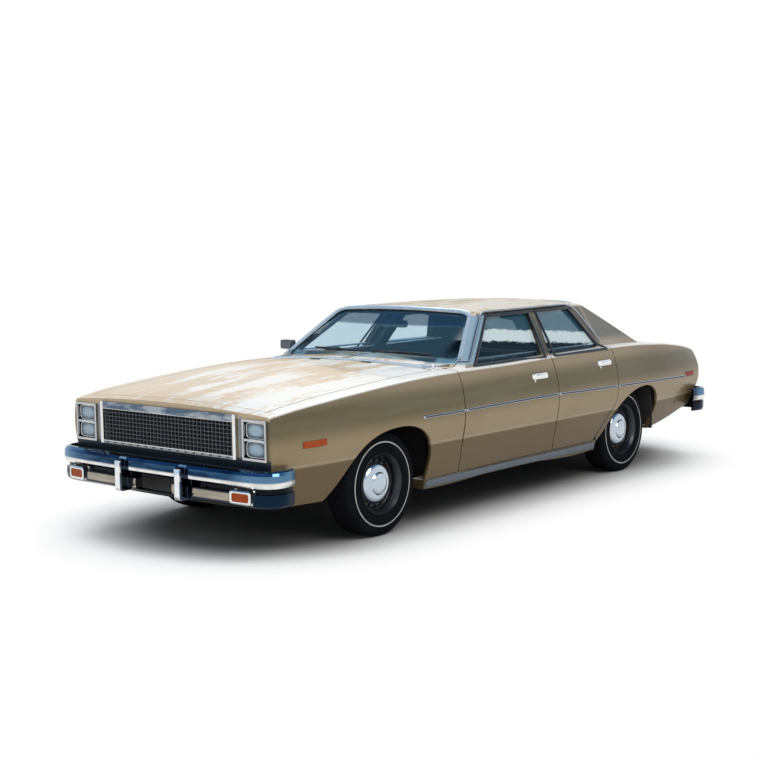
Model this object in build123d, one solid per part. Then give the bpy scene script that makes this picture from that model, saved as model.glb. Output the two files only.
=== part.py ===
from build123d import *
import os
from collections import namedtuple
from math import cos, hypot, radians, sin

# A full-size four-door saloon car of the late 1970s, in millimetres.
# +X is forward, +Y the car's left, +Z up. The origin is on the floor, midway along the car.

os.makedirs("parts", exist_ok=True)

# ---- driving dimensions -------------------------------------------------------------
wheelbase = 2985
front_axle_x = 1562.5
rear_axle_x = front_axle_x - wheelbase
half_track = 800
tyre_radius = 338
tyre_width = 208
axle_z = tyre_radius

nose_x = 2560                # front face of the nose panel
tail_x = -2700               # rearmost point of the body
sill_bottom_z = 240
floor_z = 262
cargo_z = 500                # floor of the trunk and under the rear seat
belt_z = 1008                # base of the side windows
window_top_z = 1309
door_bottom_z = 310
door_top_z = 1332
shoulder_z = 1032            # the front doors stay below this ahead of their window frames
roof_z = 1388
skin = 20                    # outer panels
plate = 8                    # floors and inner walls
pillar_wall = 34             # roof and pillars
door_depth = 100             # whole door below the belt
door_frame = 40              # window frame above the belt
glass = 5
glass_inset = 14             # glass behind the outer surface
seam = 7                     # gap round doors, hood and trunk lid
hood_rear_gap = 20           # between the hood and the cowl
seat_gap = 0.3               # between pieces that rest on each other
pin_fit = 0.05               # radial clearance of hinge pins and hubs
far_side = 1100              # beyond the car's side
high = 1500                  # above the roof


# ---- small helpers ------------------------------------------------------------------
def prism(corners, direction):
    """Prism of a flat closed outline, extruded along a vector."""
    return Solid.extrude(Face(Wire.make_polygon(corners, close=True)), direction)


def side_prism(points, y0, y1):
    """Prism of a side-view outline (x, z) between two y values."""
    return prism([Vector(x, y0, z) for x, z in points], Vector(0, y1 - y0, 0))


def plan_prism(points, z0, z1):
    """Prism of a plan outline (x, y) between two heights."""
    return prism([Vector(x, y, z0) for x, y in points], Vector(0, 0, z1 - z0))


def block(x0, x1, y0, y1, z0, z1):
    """Box between its six faces."""
    return Solid.make_box(x1 - x0, y1 - y0, z1 - z0).moved(Location((x0, y0, z0)))


def side_block(sign, x0, x1, y_in, y_out, z0, z1):
    """Box on the left (sign 1) or right (sign -1) of the car."""
    y0, y1 = sorted((sign * y_in, sign * y_out))
    return block(x0, x1, y0, y1, z0, z1)


def rounded_block(x0, x1, y0, y1, z0, z1, radius):
    """Box whose edges along the car's length are rounded."""
    box = block(x0, x1, y0, y1, z0, z1)
    return box.fillet(radius, box.edges().filter_by(Axis.X))


def rod_x(radius, x0, x1, y, z):
    return Solid.make_cylinder(radius, x1 - x0, Plane(origin=(x0, y, z), z_dir=(1, 0, 0)))


def rod_y(radius, y0, y1, x, z):
    return Solid.make_cylinder(radius, y1 - y0, Plane(origin=(x, y0, z), z_dir=(0, 1, 0)))


def rod_z(radius, z0, z1, x, y):
    return Solid.make_cylinder(radius, z1 - z0, Plane(origin=(x, y, z0), z_dir=(0, 0, 1)))


def both_sides(shape):
    """The shape and its mirror image across the car's centre plane."""
    return shape, shape.mirror(Plane.XZ)


def join(first, *others):
    result = first
    for other in others:
        result = result + other
    return result


def solids_of(shape):
    """Solids of a shape, the largest first."""
    return sorted(shape.solids(), key=lambda s: -s.volume)


nodes = {}


def keep(name, *shapes):
    """Store a node as one solid, or as several solids that don't touch."""
    found = []
    for shape in shapes:
        found += solids_of(shape)
    nodes[name] = found[0] if len(found) == 1 else Compound(children=found)
    nodes[name].label = name


def keep_main(name, shape):
    """Store only the largest solid of a cut, without the slivers beyond its seams."""
    keep(name, solids_of(shape)[0])


# ---- body surfaces ------------------------------------------------------------------
Station = namedtuple("Station", "x sill_y sill_z crease_y crease_z wide_y wide_z top_y top_z crown_z")

lower_body = [
    Station(nose_x + 20, 850, 330, 884, 560, 900, 690, 884, 868, 900),
    Station(nose_x - 240, 878, 320, 925, 552, 950, 712, 915, 908, 944),
    Station(front_axle_x + 360, 892, 300, 946, 546, 967, 722, 926, 944, 980),
    Station(front_axle_x - 80, 900, 262, 955, 542, 977, 730, 926, 974, 1012),
    Station(740, 905, sill_bottom_z, 962, 538, 985, 732, 922, 994, 1034),
    Station(-300, 905, sill_bottom_z, 965, 530, 987, 731, 918, 1000, 1040),
    Station(-1060, 903, sill_bottom_z, 964, 520, 985, 722, 914, 1008, 1044),
    Station(rear_axle_x - 60, 898, 270, 958, 518, 978, 712, 908, 1006, 1036),
    Station(-2050, 885, 330, 938, 530, 958, 700, 890, 975, 992),
    Station(-2450, 862, 400, 905, 548, 925, 690, 862, 930, 936),
    Station(tail_x - 20, 838, 425, 876, 552, 893, 680, 828, 868, 874),
]
shoulder_round = 26
least_round = 4
shoulder_edge_z = 880        # the shoulder's edges lie above this


def body_section(station, inset):
    """Closed cross-section: straight tuck-under, bowed side, crowned top."""
    s = station

    def at(y, z):
        return Vector(s.x, y, z)

    bottom = s.sill_z + inset
    sill_y = s.sill_y - inset
    crease_y = s.crease_y - inset
    wide_y = s.wide_y - inset
    top_y = s.top_y - inset * 1.02
    top_z = s.top_z - inset
    crown = s.crown_z - inset
    crease_z = max(s.crease_z, bottom + 40)
    edges = [
        Edge.make_line(at(-sill_y, bottom), at(sill_y, bottom)),
        Edge.make_line(at(sill_y, bottom), at(crease_y, crease_z)),
        Edge.make_three_point_arc(at(crease_y, crease_z), at(wide_y, s.wide_z), at(top_y, top_z)),
        Edge.make_three_point_arc(at(top_y, top_z), at(0, crown), at(-top_y, top_z)),
        Edge.make_three_point_arc(at(-top_y, top_z), at(-wide_y, s.wide_z), at(-crease_y, crease_z)),
        Edge.make_line(at(-crease_y, crease_z), at(-sill_y, bottom)),
    ]
    return Wire(edges)


def body_solid(inset):
    """Whole lower body as one closed solid, shrunk by the inset."""
    loft_body = Solid.make_loft([body_section(s, inset) for s in lower_body])
    long_edges = [e for e in loft_body.edges() if e.bounding_box().size.X > wheelbase]
    shoulders = [e for e in long_edges if e.center().Z > shoulder_edge_z]
    if inset < shoulder_round:
        loft_body = loft_body.fillet(max(shoulder_round - inset, least_round), shoulders)
    nose = nose_x - inset
    tail = tail_x + inset
    profile = [
        (nose - 30, 200), (nose - 8, 560), (nose, 700), (nose, far_side),
        (tail + 70, far_side), (tail + 70, 925), (tail + 22, 880), (tail, 745), (tail + 14, 640),
        (tail + 110, 425), (tail + 150, 200),
    ]
    return loft_body & side_prism(profile, -far_side, far_side)


roof_stations = [(900, 1392, 652), (300, 1382, 655), (-300, roof_z, 656), (-900, 1382, 648),
                 (-1300, 1364, 632), (-2300, 1290, 600)]
roof_edge_drop = 34          # roof edge below the crown
roof_round = 44              # radius between roof and side glass
house_base_z = 850
house_lean = 0.60            # sideways lean of the side glass per unit of height
side_bulge = 9
screen_top_x = 243           # windshield on the centre line at roof height
screen_rake = 1.438          # windshield run per unit of height
screen_bow = 95              # how far its middle stands ahead of its corners
back_top_x = -1150           # rear window on the centre line at roof height
back_rake = 1.98
back_bow = 60
bow_half = 640               # half-width over which the bows are measured


def house_section(x, crown_z, edge_y, inset):
    """Closed cross-section of roof and side glass."""
    base_y = edge_y + (crown_z - roof_edge_drop - house_base_z) * house_lean - inset
    edge_z = crown_z - roof_edge_drop - inset
    roof_y = edge_y - inset
    mid_y = (base_y + roof_y) / 2 + side_bulge
    mid_z = (house_base_z + edge_z) / 2

    def at(y, z):
        return Vector(x, y, z)

    edges = [
        Edge.make_line(at(-base_y, house_base_z), at(base_y, house_base_z)),
        Edge.make_three_point_arc(at(base_y, house_base_z), at(mid_y, mid_z), at(roof_y, edge_z)),
        Edge.make_three_point_arc(at(roof_y, edge_z), at(0, crown_z - inset), at(-roof_y, edge_z)),
        Edge.make_three_point_arc(at(-roof_y, edge_z), at(-mid_y, mid_z), at(-base_y, house_base_z)),
    ]
    return Wire(edges)


def screen_solid(top_x, rake, bow, inset, forward):
    """Everything behind the windshield (forward = 1) or ahead of the rear window (forward = -1)."""
    half = far_side + 200
    far_x = -forward * 4000
    wires = []
    for z in (house_base_z - 60, roof_z + 72):
        middle = top_x + forward * ((roof_z - z) * rake - inset * hypot(1, rake))
        corner = middle - forward * bow * (half / bow_half) ** 2
        edges = [
            Edge.make_three_point_arc(
                Vector(corner, -half, z), Vector(middle, 0, z), Vector(corner, half, z)),
            Edge.make_line(Vector(corner, half, z), Vector(far_x, half, z)),
            Edge.make_line(Vector(far_x, half, z), Vector(far_x, -half, z)),
            Edge.make_line(Vector(far_x, -half, z), Vector(corner, -half, z)),
        ]
        wires.append(Wire(edges))
    return Solid.make_loft(wires, ruled=True)


def house_solid(inset):
    """Roof, pillars and glass as one closed solid, shrunk by the inset."""
    loft_house = Solid.make_loft([house_section(x, z, y, inset) for x, z, y in roof_stations])
    rails = [e for e in loft_house.edges() if e.bounding_box().size.X > 2000 and e.center().Z > 1200]
    rounded = loft_house.fillet(max(roof_round - inset, least_round + 2), rails)
    front = screen_solid(screen_top_x, screen_rake, screen_bow, inset, 1)
    rear = screen_solid(back_top_x, back_rake, back_bow, inset, -1)
    return rounded & front & rear


body_outer = body_solid(0)
house_outer = house_solid(0)
outer = body_outer + house_outer
core = body_solid(skin)
house_inner = house_solid(pillar_wall)
shell = outer - (core + house_inner)
door_wall = outer - (body_solid(door_depth) + house_solid(door_frame))

# ---- doors --------------------------------------------------------------------------
hinge_y = 948
hinge_setback = 55           # hinge axis behind the door's front edge
door_split_x = -355.5        # seam between front and rear door below the belt
front_door_x = 783           # seam between fender and front door
hinge_zs = (600, 850)
hinge_eye = 13
hinge_pin = 7
hinge_lug = 34               # height of a hinge lug
post_y = hinge_y - 92        # outer face of the door posts
post_top_z = 790             # above this the door posts step inboard
post_thick = 50
inner_y = 795                # inner face of the doors below the belt
step_z = 620                 # below this the doors are thinner, to clear the posts
corner_round = 12            # corners of the side windows
sweep_gap = 6.6              # round a door's front edge as it swings
corner_long, corner_deep = 40, 16    # trimmed off the front door's inner corner beside the cowl

Door = namedtuple("Door", "name front_x hinge_x outline rear window")

front_door = Door(
    "front", front_door_x, front_door_x - hinge_setback,
    [(front_door_x, door_bottom_z), (front_door_x, shoulder_z), (545, shoulder_z), (150, door_top_z),
     (-900, door_top_z), (-900, door_bottom_z)],
    [(door_split_x, door_bottom_z), (door_split_x, 960), (door_split_x + 4, belt_z),
     (-446, door_top_z)],
    [(512, belt_z), (124, window_top_z), (-398, window_top_z), (-310, belt_z)],
)
rear_door_x = door_split_x - seam
rear_door = Door(
    "rear", rear_door_x, rear_door_x - hinge_setback,
    [(rear_door_x, door_bottom_z), (rear_door_x, 960), (rear_door_x + 4, belt_z),
     (-453, door_top_z), (-1500, door_top_z), (-1500, 590), (-1196, 590), (-1010, 400),
     (-930, door_bottom_z)],
    [(-940, door_bottom_z), (-1040, 420), (-1200, 600), (-1212, 960), (-1190, belt_z),
     (-1004, door_top_z)],
    [(-410, belt_z), (-496, window_top_z), (-964, window_top_z), (-1132, belt_z)],
)


def side_y(z):
    """Half-width of the car's side beside the doors at a height."""
    if z >= belt_z:
        return 656 + (roof_z - roof_edge_drop - z) * house_lean
    for low, high_end in (((240, 905), (534, 963)), ((534, 963), (732, 986)), ((732, 986), (belt_z, 915))):
        if z <= high_end[0]:
            share = (z - low[0]) / (high_end[0] - low[0])
            return low[1] + share * (high_end[1] - low[1])


def hinge_turned(points, hinge_x, grow):
    """Solid of revolution about a door's hinge whose rim is the door's rear edge."""
    rim = [(hypot(hinge_x - x, hinge_y - side_y(z)) + grow, z) for x, z in points]
    low, top = rim[0][1] - 80, rim[-1][1] + 40
    ring = [(0, low), (rim[0][0], low)] + rim + [(rim[-1][0], top), (0, top)]
    face = Face(Wire.make_polygon([Vector(hinge_x + r, hinge_y, z) for r, z in ring], close=True))
    return Solid.revolve(face, 360, Axis((hinge_x, hinge_y, 0), (0, 0, 1)))


def grown(points, amount):
    """Side-view outline with every side moved outward by the amount."""
    if amount == 0:
        return points
    outline = Face(Wire.make_polygon([Vector(x, z, 0) for x, z in points], close=True)).outer_wire()
    moved = outline.offset_2d(amount, Kind.INTERSECTION)
    return [(e.position_at(0).X, e.position_at(0).Y) for e in moved.order_edges()]


def door_region(door, grow):
    """Space that a left door takes up, bounded by its seams, its inner face and its hinge."""
    sheet = side_prism(grown(door.outline, grow), 440, far_side)
    inboard = block(-2000, 1200, 0, inner_y - grow, 0, shoulder_z + 2 * seam)
    inboard = inboard + block(-2000, 1200, 0, post_y + 4 - grow, 0, step_z)
    return (sheet - inboard) & hinge_turned(door.rear, door.hinge_x, grow)


def sweep_barrel(door):
    """Room for a door's front edge to turn about its hinge, widest where the side is widest."""
    reach = door.front_x - door.hinge_x
    x0 = door.hinge_x
    rims = [(hypot(reach, max(side_y(z) - hinge_y, 0)) + sweep_gap, z) for z in (470, 732, 905)]
    low, middle, top = [Vector(x0 + r, hinge_y, z) for r, z in rims]
    under = Vector(low.X, hinge_y, door_bottom_z - 5)
    above = Vector(top.X, hinge_y, belt_z + 14)
    edges = [
        Edge.make_line(Vector(x0, hinge_y, under.Z), under),
        Edge.make_line(under, low),
        Edge.make_three_point_arc(low, middle, top),
        Edge.make_line(top, above),
        Edge.make_line(above, Vector(x0, hinge_y, above.Z)),
        Edge.make_line(Vector(x0, hinge_y, above.Z), Vector(x0, hinge_y, under.Z)),
    ]
    return Solid.revolve(Face(Wire(edges)), 360, Axis((x0, hinge_y, 0), (0, 0, 1)))


def hinge_pocket(door, z):
    half = hinge_lug / 2 + 6
    return block(door.hinge_x - hinge_eye - 6, door.front_x + skin, 700, hinge_y + hinge_eye + 2,
                 z - half, z + half)


def hinge_pin_solid(door, z):
    half = hinge_lug / 2 + 8
    return rod_z(hinge_pin, z - half, z + half, door.hinge_x, hinge_y)


def hinge_lug_solid(door, z):
    """Hinge eye on a neck that reaches out from the door post."""
    half = hinge_lug / 2
    eye = rod_z(hinge_eye, z - half, z + half, door.hinge_x, hinge_y)
    root_y = post_y - 30 if z < post_top_z - 40 else post_y - 90
    neck = block(door.hinge_x - 8, door.hinge_x + 8, root_y, hinge_y, z - half, z + half)
    return eye + neck - rod_z(hinge_pin + pin_fit, z - hinge_lug, z + hinge_lug, door.hinge_x, hinge_y)


barrels = {door.name: sweep_barrel(door) for door in (front_door, rear_door)}
pane_wall = house_solid(glass_inset) - house_solid(glass_inset + glass)

for door in (front_door, rear_door):
    panel = door_wall & door_region(door, 0)
    if door is rear_door:
        panel = panel - hinge_turned(front_door.rear, front_door.hinge_x, seam)
    else:
        panel = panel - barrels["rear"]
        panel = panel - block(front_door_x - corner_long, front_door_x, 0, inner_y + corner_deep,
                              post_top_z + 100, shoulder_z)
    opening = side_prism(door.window, 440, far_side)
    opening = opening.fillet(corner_round, opening.edges().filter_by(Axis.Y))
    panel = solids_of(panel - opening)[0]
    pane = solids_of((pane_wall & opening) & block(-2000, 1200, 440, far_side, belt_z - 30, high))[0]
    for z in hinge_zs:
        panel = panel - hinge_pocket(door, z) + hinge_pin_solid(door, z)
    for side, panel_side, pane_side in zip(("left", "right"), both_sides(panel), both_sides(pane)):
        keep_main(f"{door.name}_door_{side}", panel_side)
        keep_main(f"{door.name}_door_glass_{side}", pane_side)

# ---- wheel arches -------------------------------------------------------------------
# Openings over the wheels, as (ahead of the axle, height) along a smooth curve.
front_arch = [(578, 300), (387, 469), (250, 606), (94, 676), (-86, 700), (-246, 684), (-345, 640),
              (-410, 572), (-438, 488), (-424, 354), (-404, 280)]
rear_arch = [(462, 290), (350, 373), (224, 504), (100, 592), (-58, 652), (-219, 672), (-352, 646),
             (-436, 566), (-450, 481), (-412, 387), (-384, 300)]
arch_in_y = 600


def arch_prism(axle_x, outline):
    """Prism of a left wheel opening: a smooth curve over the wheel, open below."""
    points = [Vector(axle_x + dx, arch_in_y, z) for dx, z in outline]
    first, last = points[0], points[-1]
    ground = 100
    edges = [
        Edge.make_spline(points),
        Edge.make_line(last, Vector(last.X, arch_in_y, ground)),
        Edge.make_line(Vector(last.X, arch_in_y, ground), Vector(first.X, arch_in_y, ground)),
        Edge.make_line(Vector(first.X, arch_in_y, ground), first),
    ]
    return Solid.extrude(Face(Wire(edges)), Vector(0, far_side - arch_in_y, 0))


# ---- hood, trunk lid, fenders, nose --------------------------------------------------
hood_front_x = 2488
hood_back_x = 905
hood_half = 800
lid_front_x = -1985
lid_back_x = tail_x + 92
lid_half = 770
nose_back_x = 2492
lid_gap = 12                 # ahead of the trunk lid

hood_hinge_x, hood_hinge_z = hood_back_x - 185, 920
lid_hinge_x, lid_hinge_z = lid_front_x + 205, 900
arm_plate = 12
arm_eye = 15
hood_arm_y, lid_arm_y = 700, 552
arm_gap = 2                  # between a hinge arm and what carries its pin
cover_low_z = 800            # hood and lid lie above this height

hood_zone = block(hood_back_x, hood_front_x, -hood_half, hood_half, cover_low_z, high)
hood_hole = block(hood_back_x - hood_rear_gap, hood_front_x + seam, -hood_half - seam, hood_half + seam,
                  cover_low_z, high)
lid_zone = block(lid_back_x, lid_front_x, -lid_half, lid_half, cover_low_z + 50, high)
lid_hole = block(lid_back_x - seam, lid_front_x + lid_gap, -lid_half - seam, lid_half + seam,
                 cover_low_z + 50, high)


def hinge_arm(x, z, direction, y, path):
    """Gooseneck from a hinge pin, reaching round the edge of the opening; path is (out, up)."""
    outline = [(x + direction * out, z + up) for out, up in path]
    arm = side_prism(outline, y, y + arm_plate) + rod_y(arm_eye, y, y + arm_plate, x, z)
    return arm - rod_y(hinge_pin + pin_fit, y - 30, y + 30, x, z)


hood_arm = hinge_arm(hood_hinge_x, hood_hinge_z, 1, hood_arm_y,
                     [(-8, -12), (10, 13), (88, -16), (132, -66), (158, -106), (180, -100), (200, -20),
                      (200, 92), (234, 92), (240, -70), (196, -140), (138, -146), (110, -98), (76, -52)])
lid_arm = hinge_arm(lid_hinge_x, lid_hinge_z, -1, lid_arm_y,
                    [(-8, -10), (2, 10), (190, -202), (248, -70), (232, 92), (268, 92), (285, -60),
                     (204, -246)])

web_deep, web_wide, web_edge = 22, 100, 20
hood_web = (core - body_solid(skin + web_deep)) & block(
    hood_back_x + web_edge, hood_front_x - web_edge, -hood_half + 2 * web_edge, hood_half - 2 * web_edge,
    cover_low_z, high)
hood_web = hood_web - block(
    hood_back_x + web_edge + web_wide, hood_front_x - web_edge - web_wide,
    -hood_half + 2 * web_edge + web_wide + 20, hood_half - 2 * web_edge - web_wide - 20, cover_low_z, high)
keep_main("hood", join(shell & hood_zone, hood_web, *both_sides(hood_arm & body_solid(skin - 2))))
keep_main("trunk_lid", join(shell & lid_zone, *both_sides(lid_arm & body_solid(skin - 2))))

fender = (shell & block(front_door_x + seam, nose_back_x - seat_gap, 0, far_side, 200, high)) - hood_hole
fender = fender - block(front_door_x, nose_x, 0, hood_half + seam, cover_low_z, high)
fender = fender - block(front_door_x, nose_x, 0, 868, 200, cover_low_z)
fender = fender - block(front_door_x, front_axle_x, 0, far_side, 200, door_bottom_z)
fender = fender - barrels["front"] - arch_prism(front_axle_x, front_arch)
for side, shape in zip(("left", "right"), both_sides(solids_of(fender)[0])):
    keep(f"front_fender_{side}", shape)

grille_half = 622
grille_low, grille_top = 604, 874
lamp_in, lamp_out = 672, 872
lamp_low, lamp_top = 608, 852
nose_low_z = 500
nose = shell & block(nose_back_x, nose_x + 50, -far_side, far_side, nose_low_z, high)
nose = nose - block(nose_x - 60, nose_x + 60, -grille_half, grille_half, grille_low, grille_top)
for sign in (1, -1):
    nose = nose - side_block(sign, nose_x - 60, nose_x + 60, lamp_in, lamp_out, lamp_low, lamp_top)
keep_main("nose_panel", nose)

# ---- windshield and rear window ---------------------------------------------------------
Screen = namedtuple("Screen", "low_half low_z low_mid_z top_half top_z top_mid_z x0 x1 corner")

windshield = Screen(812, 1013, 1043, 606, 1338, 1358, 0, 1400, 34)
rear_window = Screen(690, 1060, 1062, 560, 1336, 1342, -2300, -1000, 40)
flange_in, flange_out = 26, 14       # glass flange beyond the edge of the glass, inward and outward


def screen_prism(screen, grow):
    """Prism through a screen's opening, with bowed upper and lower edges, its outline grown."""
    s = screen
    low, top = s.low_half + grow, s.top_half + grow
    z0, z0_mid = s.low_z - grow, s.low_mid_z - grow
    z1, z1_mid = s.top_z + grow, s.top_mid_z + grow

    def at(y, z):
        return Vector(s.x0, y, z)

    edges = [
        Edge.make_three_point_arc(at(-low, z0), at(0, z0_mid), at(low, z0)),
        Edge.make_line(at(low, z0), at(top, z1)),
        Edge.make_three_point_arc(at(top, z1), at(0, z1_mid), at(-top, z1)),
        Edge.make_line(at(-top, z1), at(-low, z0)),
    ]
    opening = Solid.extrude(Face(Wire(edges)), Vector(s.x1 - s.x0, 0, 0))
    return opening.fillet(s.corner, opening.edges().filter_by(Axis.X))


keep_main("windshield", pane_wall & screen_prism(windshield, 0))
keep_main("rear_window", pane_wall & screen_prism(rear_window, 0))
flange = house_solid(glass_inset + glass + seat_gap) - house_solid(pillar_wall + plate)
flange = flange & (screen_prism(windshield, flange_out) - screen_prism(windshield, -flange_in))

# ---- body shell: roof, pillars, cowl, quarters, sills, tail ---------------------------
bracket_y, bracket_w = 400, 70       # bumper brackets on the frame rails
rear_bracket_z = (440, 490)
side_gone = door_region(front_door, seam) + door_region(rear_door, seam)
body = shell - block(hood_back_x + skin, nose_x + 100, -far_side, far_side, 0, high)
for sign in (1, -1):
    body = body - side_block(sign, front_door_x - seam / 2, nose_x, hood_half, far_side, 0, roof_z - 100)
    body = body - side_block(sign, tail_x - 50, tail_x + 200, bracket_y - bracket_w / 2 - seat_gap,
                             bracket_y + bracket_w / 2 + seat_gap, rear_bracket_z[0] - seat_gap,
                             rear_bracket_z[1] + seat_gap)
body = body - hood_hole - lid_hole
body = body - block(tail_x + 125, nose_x, -820, 820, 150, 560)
body = body - block(-970, nose_x, -far_side, far_side, 150, door_bottom_z + 300)
for gone in (side_gone, arch_prism(rear_axle_x, rear_arch)):
    body = body - gone - gone.mirror(Plane.XZ)
body = body - (screen_prism(windshield, 0) & house_outer) - (screen_prism(rear_window, 0) & house_outer)
body = join(solids_of(body)[0], flange - side_gone - side_gone.mirror(Plane.XZ))
body = solids_of(body)[0]

sill_inner_y = 790
post_low_z = door_bottom_z - seam - 20
post_in = post_y - 20
sill = outer & block(-972, front_axle_x - 412, sill_inner_y, far_side, 200, door_bottom_z - seam)
a0, a1 = front_door.hinge_x - 40, front_door_x + 30
post_a = block(a0, a1, post_in - post_thick, post_in, post_low_z, post_top_z)
post_a = post_a + block(a0, a1, post_y - 130, post_y - 76, post_top_z - 40, 1040)
post_a = post_a + block(a0, a1, post_y - 130, post_in, post_top_z - 40, post_top_z)
post_a = post_a & (core + house_inner)
b0, b1 = rear_door.hinge_x - 35, rear_door_x + 40
post_b = block(b0, b1, post_in - post_thick, post_in, post_low_z, post_top_z)
post_b = post_b + block(b0, b1, post_y - 76, post_y - 31, post_top_z - 40, 950)
house_liner = house_solid(door_frame + 28) - house_solid(door_frame + 60)
post_b = post_b + (house_liner & side_prism([(b0, 905), (b1, 905), (-400, 1345), (-500, 1345)],
                                            440, far_side))
roof_rail = (house_solid(pillar_wall - 1) - house_solid(door_frame + 60)) & block(
    -1000, 150, 400, far_side, door_top_z + seam, high)
hood_pin = rod_y(hinge_pin, hood_arm_y - 4, post_y - 126, hood_hinge_x, hood_hinge_z)
lid_bracket_y = lid_arm_y + arm_plate + arm_gap
lid_bracket = side_prism([(lid_hinge_x - 160, 1010), (lid_hinge_x - 90, 1010),
                          (lid_hinge_x + 14, lid_hinge_z + 14), (lid_hinge_x + 14, lid_hinge_z - 14),
                          (lid_hinge_x - 20, lid_hinge_z - 14)],
                         lid_bracket_y, lid_bracket_y + arm_plate)
lid_bracket = (lid_bracket & body_solid(skin - 2)) - lid_hole
lid_pin = rod_y(hinge_pin, lid_arm_y - 4, lid_bracket_y + 4, lid_hinge_x, lid_hinge_z)
sides = join(sill, post_a, post_b, roof_rail, hood_pin) - barrels["rear"] - barrels["front"]
for door in (front_door, rear_door):
    for z in hinge_zs:
        sides = sides + hinge_lug_solid(door, z)
keep("body_shell", join(body, *both_sides(lid_bracket), *both_sides(lid_pin), *both_sides(sides)))

# ---- underbody: floor, tunnel, bulkhead, rear wheelhouses -------------------------------
floor_half = sill_inner_y - seat_gap
tunnel_half, tunnel_top = 150, 420
kick_x = -960                # step up to the cargo floor
cargo_x = tail_x + 140       # rear end of the cargo floor
seat_wall_x = -1560          # between cabin and trunk
bulkhead_x = 985
house_in_y = 640             # inner face of the rear wheelhouses
house_top_z = 760
house_front_x, house_back_x = rear_axle_x + 430, rear_axle_x - 480
shelf_z = 930
rail_z0, rail_z1 = 350, 440
rear_rail_z0 = 430
toe_x = bulkhead_x - 300     # rear end of the front rails' feet
rail_in, rail_out = bracket_y - bracket_w / 2, bracket_y + bracket_w / 2
pad_long, pad_wide, pad_deep = 80, 60, 12    # jacking pads under the frame rails
front_pad_x, rear_pad_x = 1200, -1150


def jacking_pad(sign, x, rail_bottom):
    return side_block(sign, x - pad_long / 2, x + pad_long / 2, bracket_y - pad_wide / 2,
                      bracket_y + pad_wide / 2, rail_bottom - pad_deep, rail_bottom + 2)



floor_low_z = floor_z - plate
tunnel_space = block(-1400, bulkhead_x + 50, -tunnel_half, tunnel_half, 200, tunnel_top - plate)
floor = block(kick_x, bulkhead_x, -floor_half, floor_half, floor_low_z, floor_z)
tunnel = block(-1250, bulkhead_x, -tunnel_half - plate, tunnel_half + plate, floor_low_z, tunnel_top)
kick = block(kick_x - plate, kick_x, -floor_half, floor_half, floor_low_z, cargo_z)
cargo_floor = block(cargo_x, kick_x, -floor_half, floor_half, cargo_z - plate, cargo_z)
seat_wall = block(seat_wall_x, seat_wall_x + plate, -floor_half, floor_half, house_top_z - 4, shelf_z)
seat_wall = seat_wall + block(seat_wall_x, seat_wall_x + plate, -house_in_y - 4, house_in_y + 4,
                              cargo_z - plate, house_top_z)
shelf = block(lid_hinge_x + 30, seat_wall_x + plate, -house_in_y - 4, house_in_y + 4,
              shelf_z - plate, shelf_z)
bulkhead = block(bulkhead_x - plate, bulkhead_x, -floor_half, floor_half, floor_low_z, 985)
bulkhead = bulkhead & body_solid(skin + 30)
rails = []
for sign in (1, -1):
    cargo_floor = cargo_floor - side_block(sign, rear_axle_x - 470, rear_axle_x + 420, house_in_y + plate,
                                           far_side, 400, 600)
    rails.append(side_block(sign, toe_x, bulkhead_x, rail_in, rail_out, rail_z0, rail_z1))
    rails.append(side_block(sign, toe_x, toe_x + 100, rail_in, rail_out, floor_low_z, rail_z1))
    rails.append(side_block(sign, cargo_x, kick_x, rail_in, rail_out, rear_rail_z0, cargo_z))
    rails.append(jacking_pad(sign, rear_pad_x, rear_rail_z0))
    wall = side_block(sign, house_back_x, house_front_x, house_in_y, house_in_y + plate, 470, house_top_z)
    back = side_block(sign, house_back_x, house_back_x + plate, house_in_y, 960, 440, house_top_z)
    front = side_block(sign, house_front_x - plate, house_front_x, house_in_y, 845, cargo_z - plate,
                       house_top_z)
    cover = side_block(sign, house_back_x, rear_axle_x + 200, house_in_y, 960, house_top_z - plate,
                       house_top_z)
    cover = cover + side_block(sign, rear_axle_x + 190, house_front_x, house_in_y, 845,
                               house_top_z - plate, house_top_z)
    rails.append(join(wall, back, front, cover) & core)
underbody = join(floor, kick, cargo_floor, seat_wall, shelf, bulkhead, tunnel, *rails) - tunnel_space
keep_main("underbody", underbody)

# ---- front frame: rails, inner fenders and radiator wall ---------------------------------
frame_front_x = 2470
inner_fender_y = 500         # inner face of the front wheelhouses
inner_fender_z = 768
fender_wall_y = 820
members = []
for sign in (1, -1):
    start_x = bulkhead_x + seat_gap
    members.append(side_block(sign, start_x, frame_front_x, rail_in, rail_out, rail_z0, rail_z1))
    members.append(jacking_pad(sign, front_pad_x, rail_z0))
    wall = side_block(sign, start_x, frame_front_x, inner_fender_y - plate, inner_fender_y, rail_z0,
                      inner_fender_z)
    members.append(wall - side_block(sign, front_axle_x - 120, front_axle_x + 120, inner_fender_y - 2 * plate,
                                     inner_fender_y + plate, 300, 470))
    members.append(side_block(sign, start_x, frame_front_x, rail_in, inner_fender_y, 470, 470 + plate))
    members.append(side_block(sign, start_x, start_x + plate, rail_in, inner_fender_y, rail_z0, 478))
    members.append(side_block(sign, start_x, frame_front_x, inner_fender_y - plate, 860,
                              inner_fender_z - plate, inner_fender_z) & core)
    members.append(side_block(sign, start_x, frame_front_x, fender_wall_y - plate, fender_wall_y,
                              inner_fender_z - plate, far_side) & core)
radiator_wall = block(frame_front_x - plate, frame_front_x, -fender_wall_y, fender_wall_y, rail_z0, 860)
radiator_wall = radiator_wall - block(frame_front_x - 50, frame_front_x + 50, -360, 360, 450, 800)
keep_main("front_frame", join(radiator_wall & body_solid(skin + 30), *members))

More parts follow.
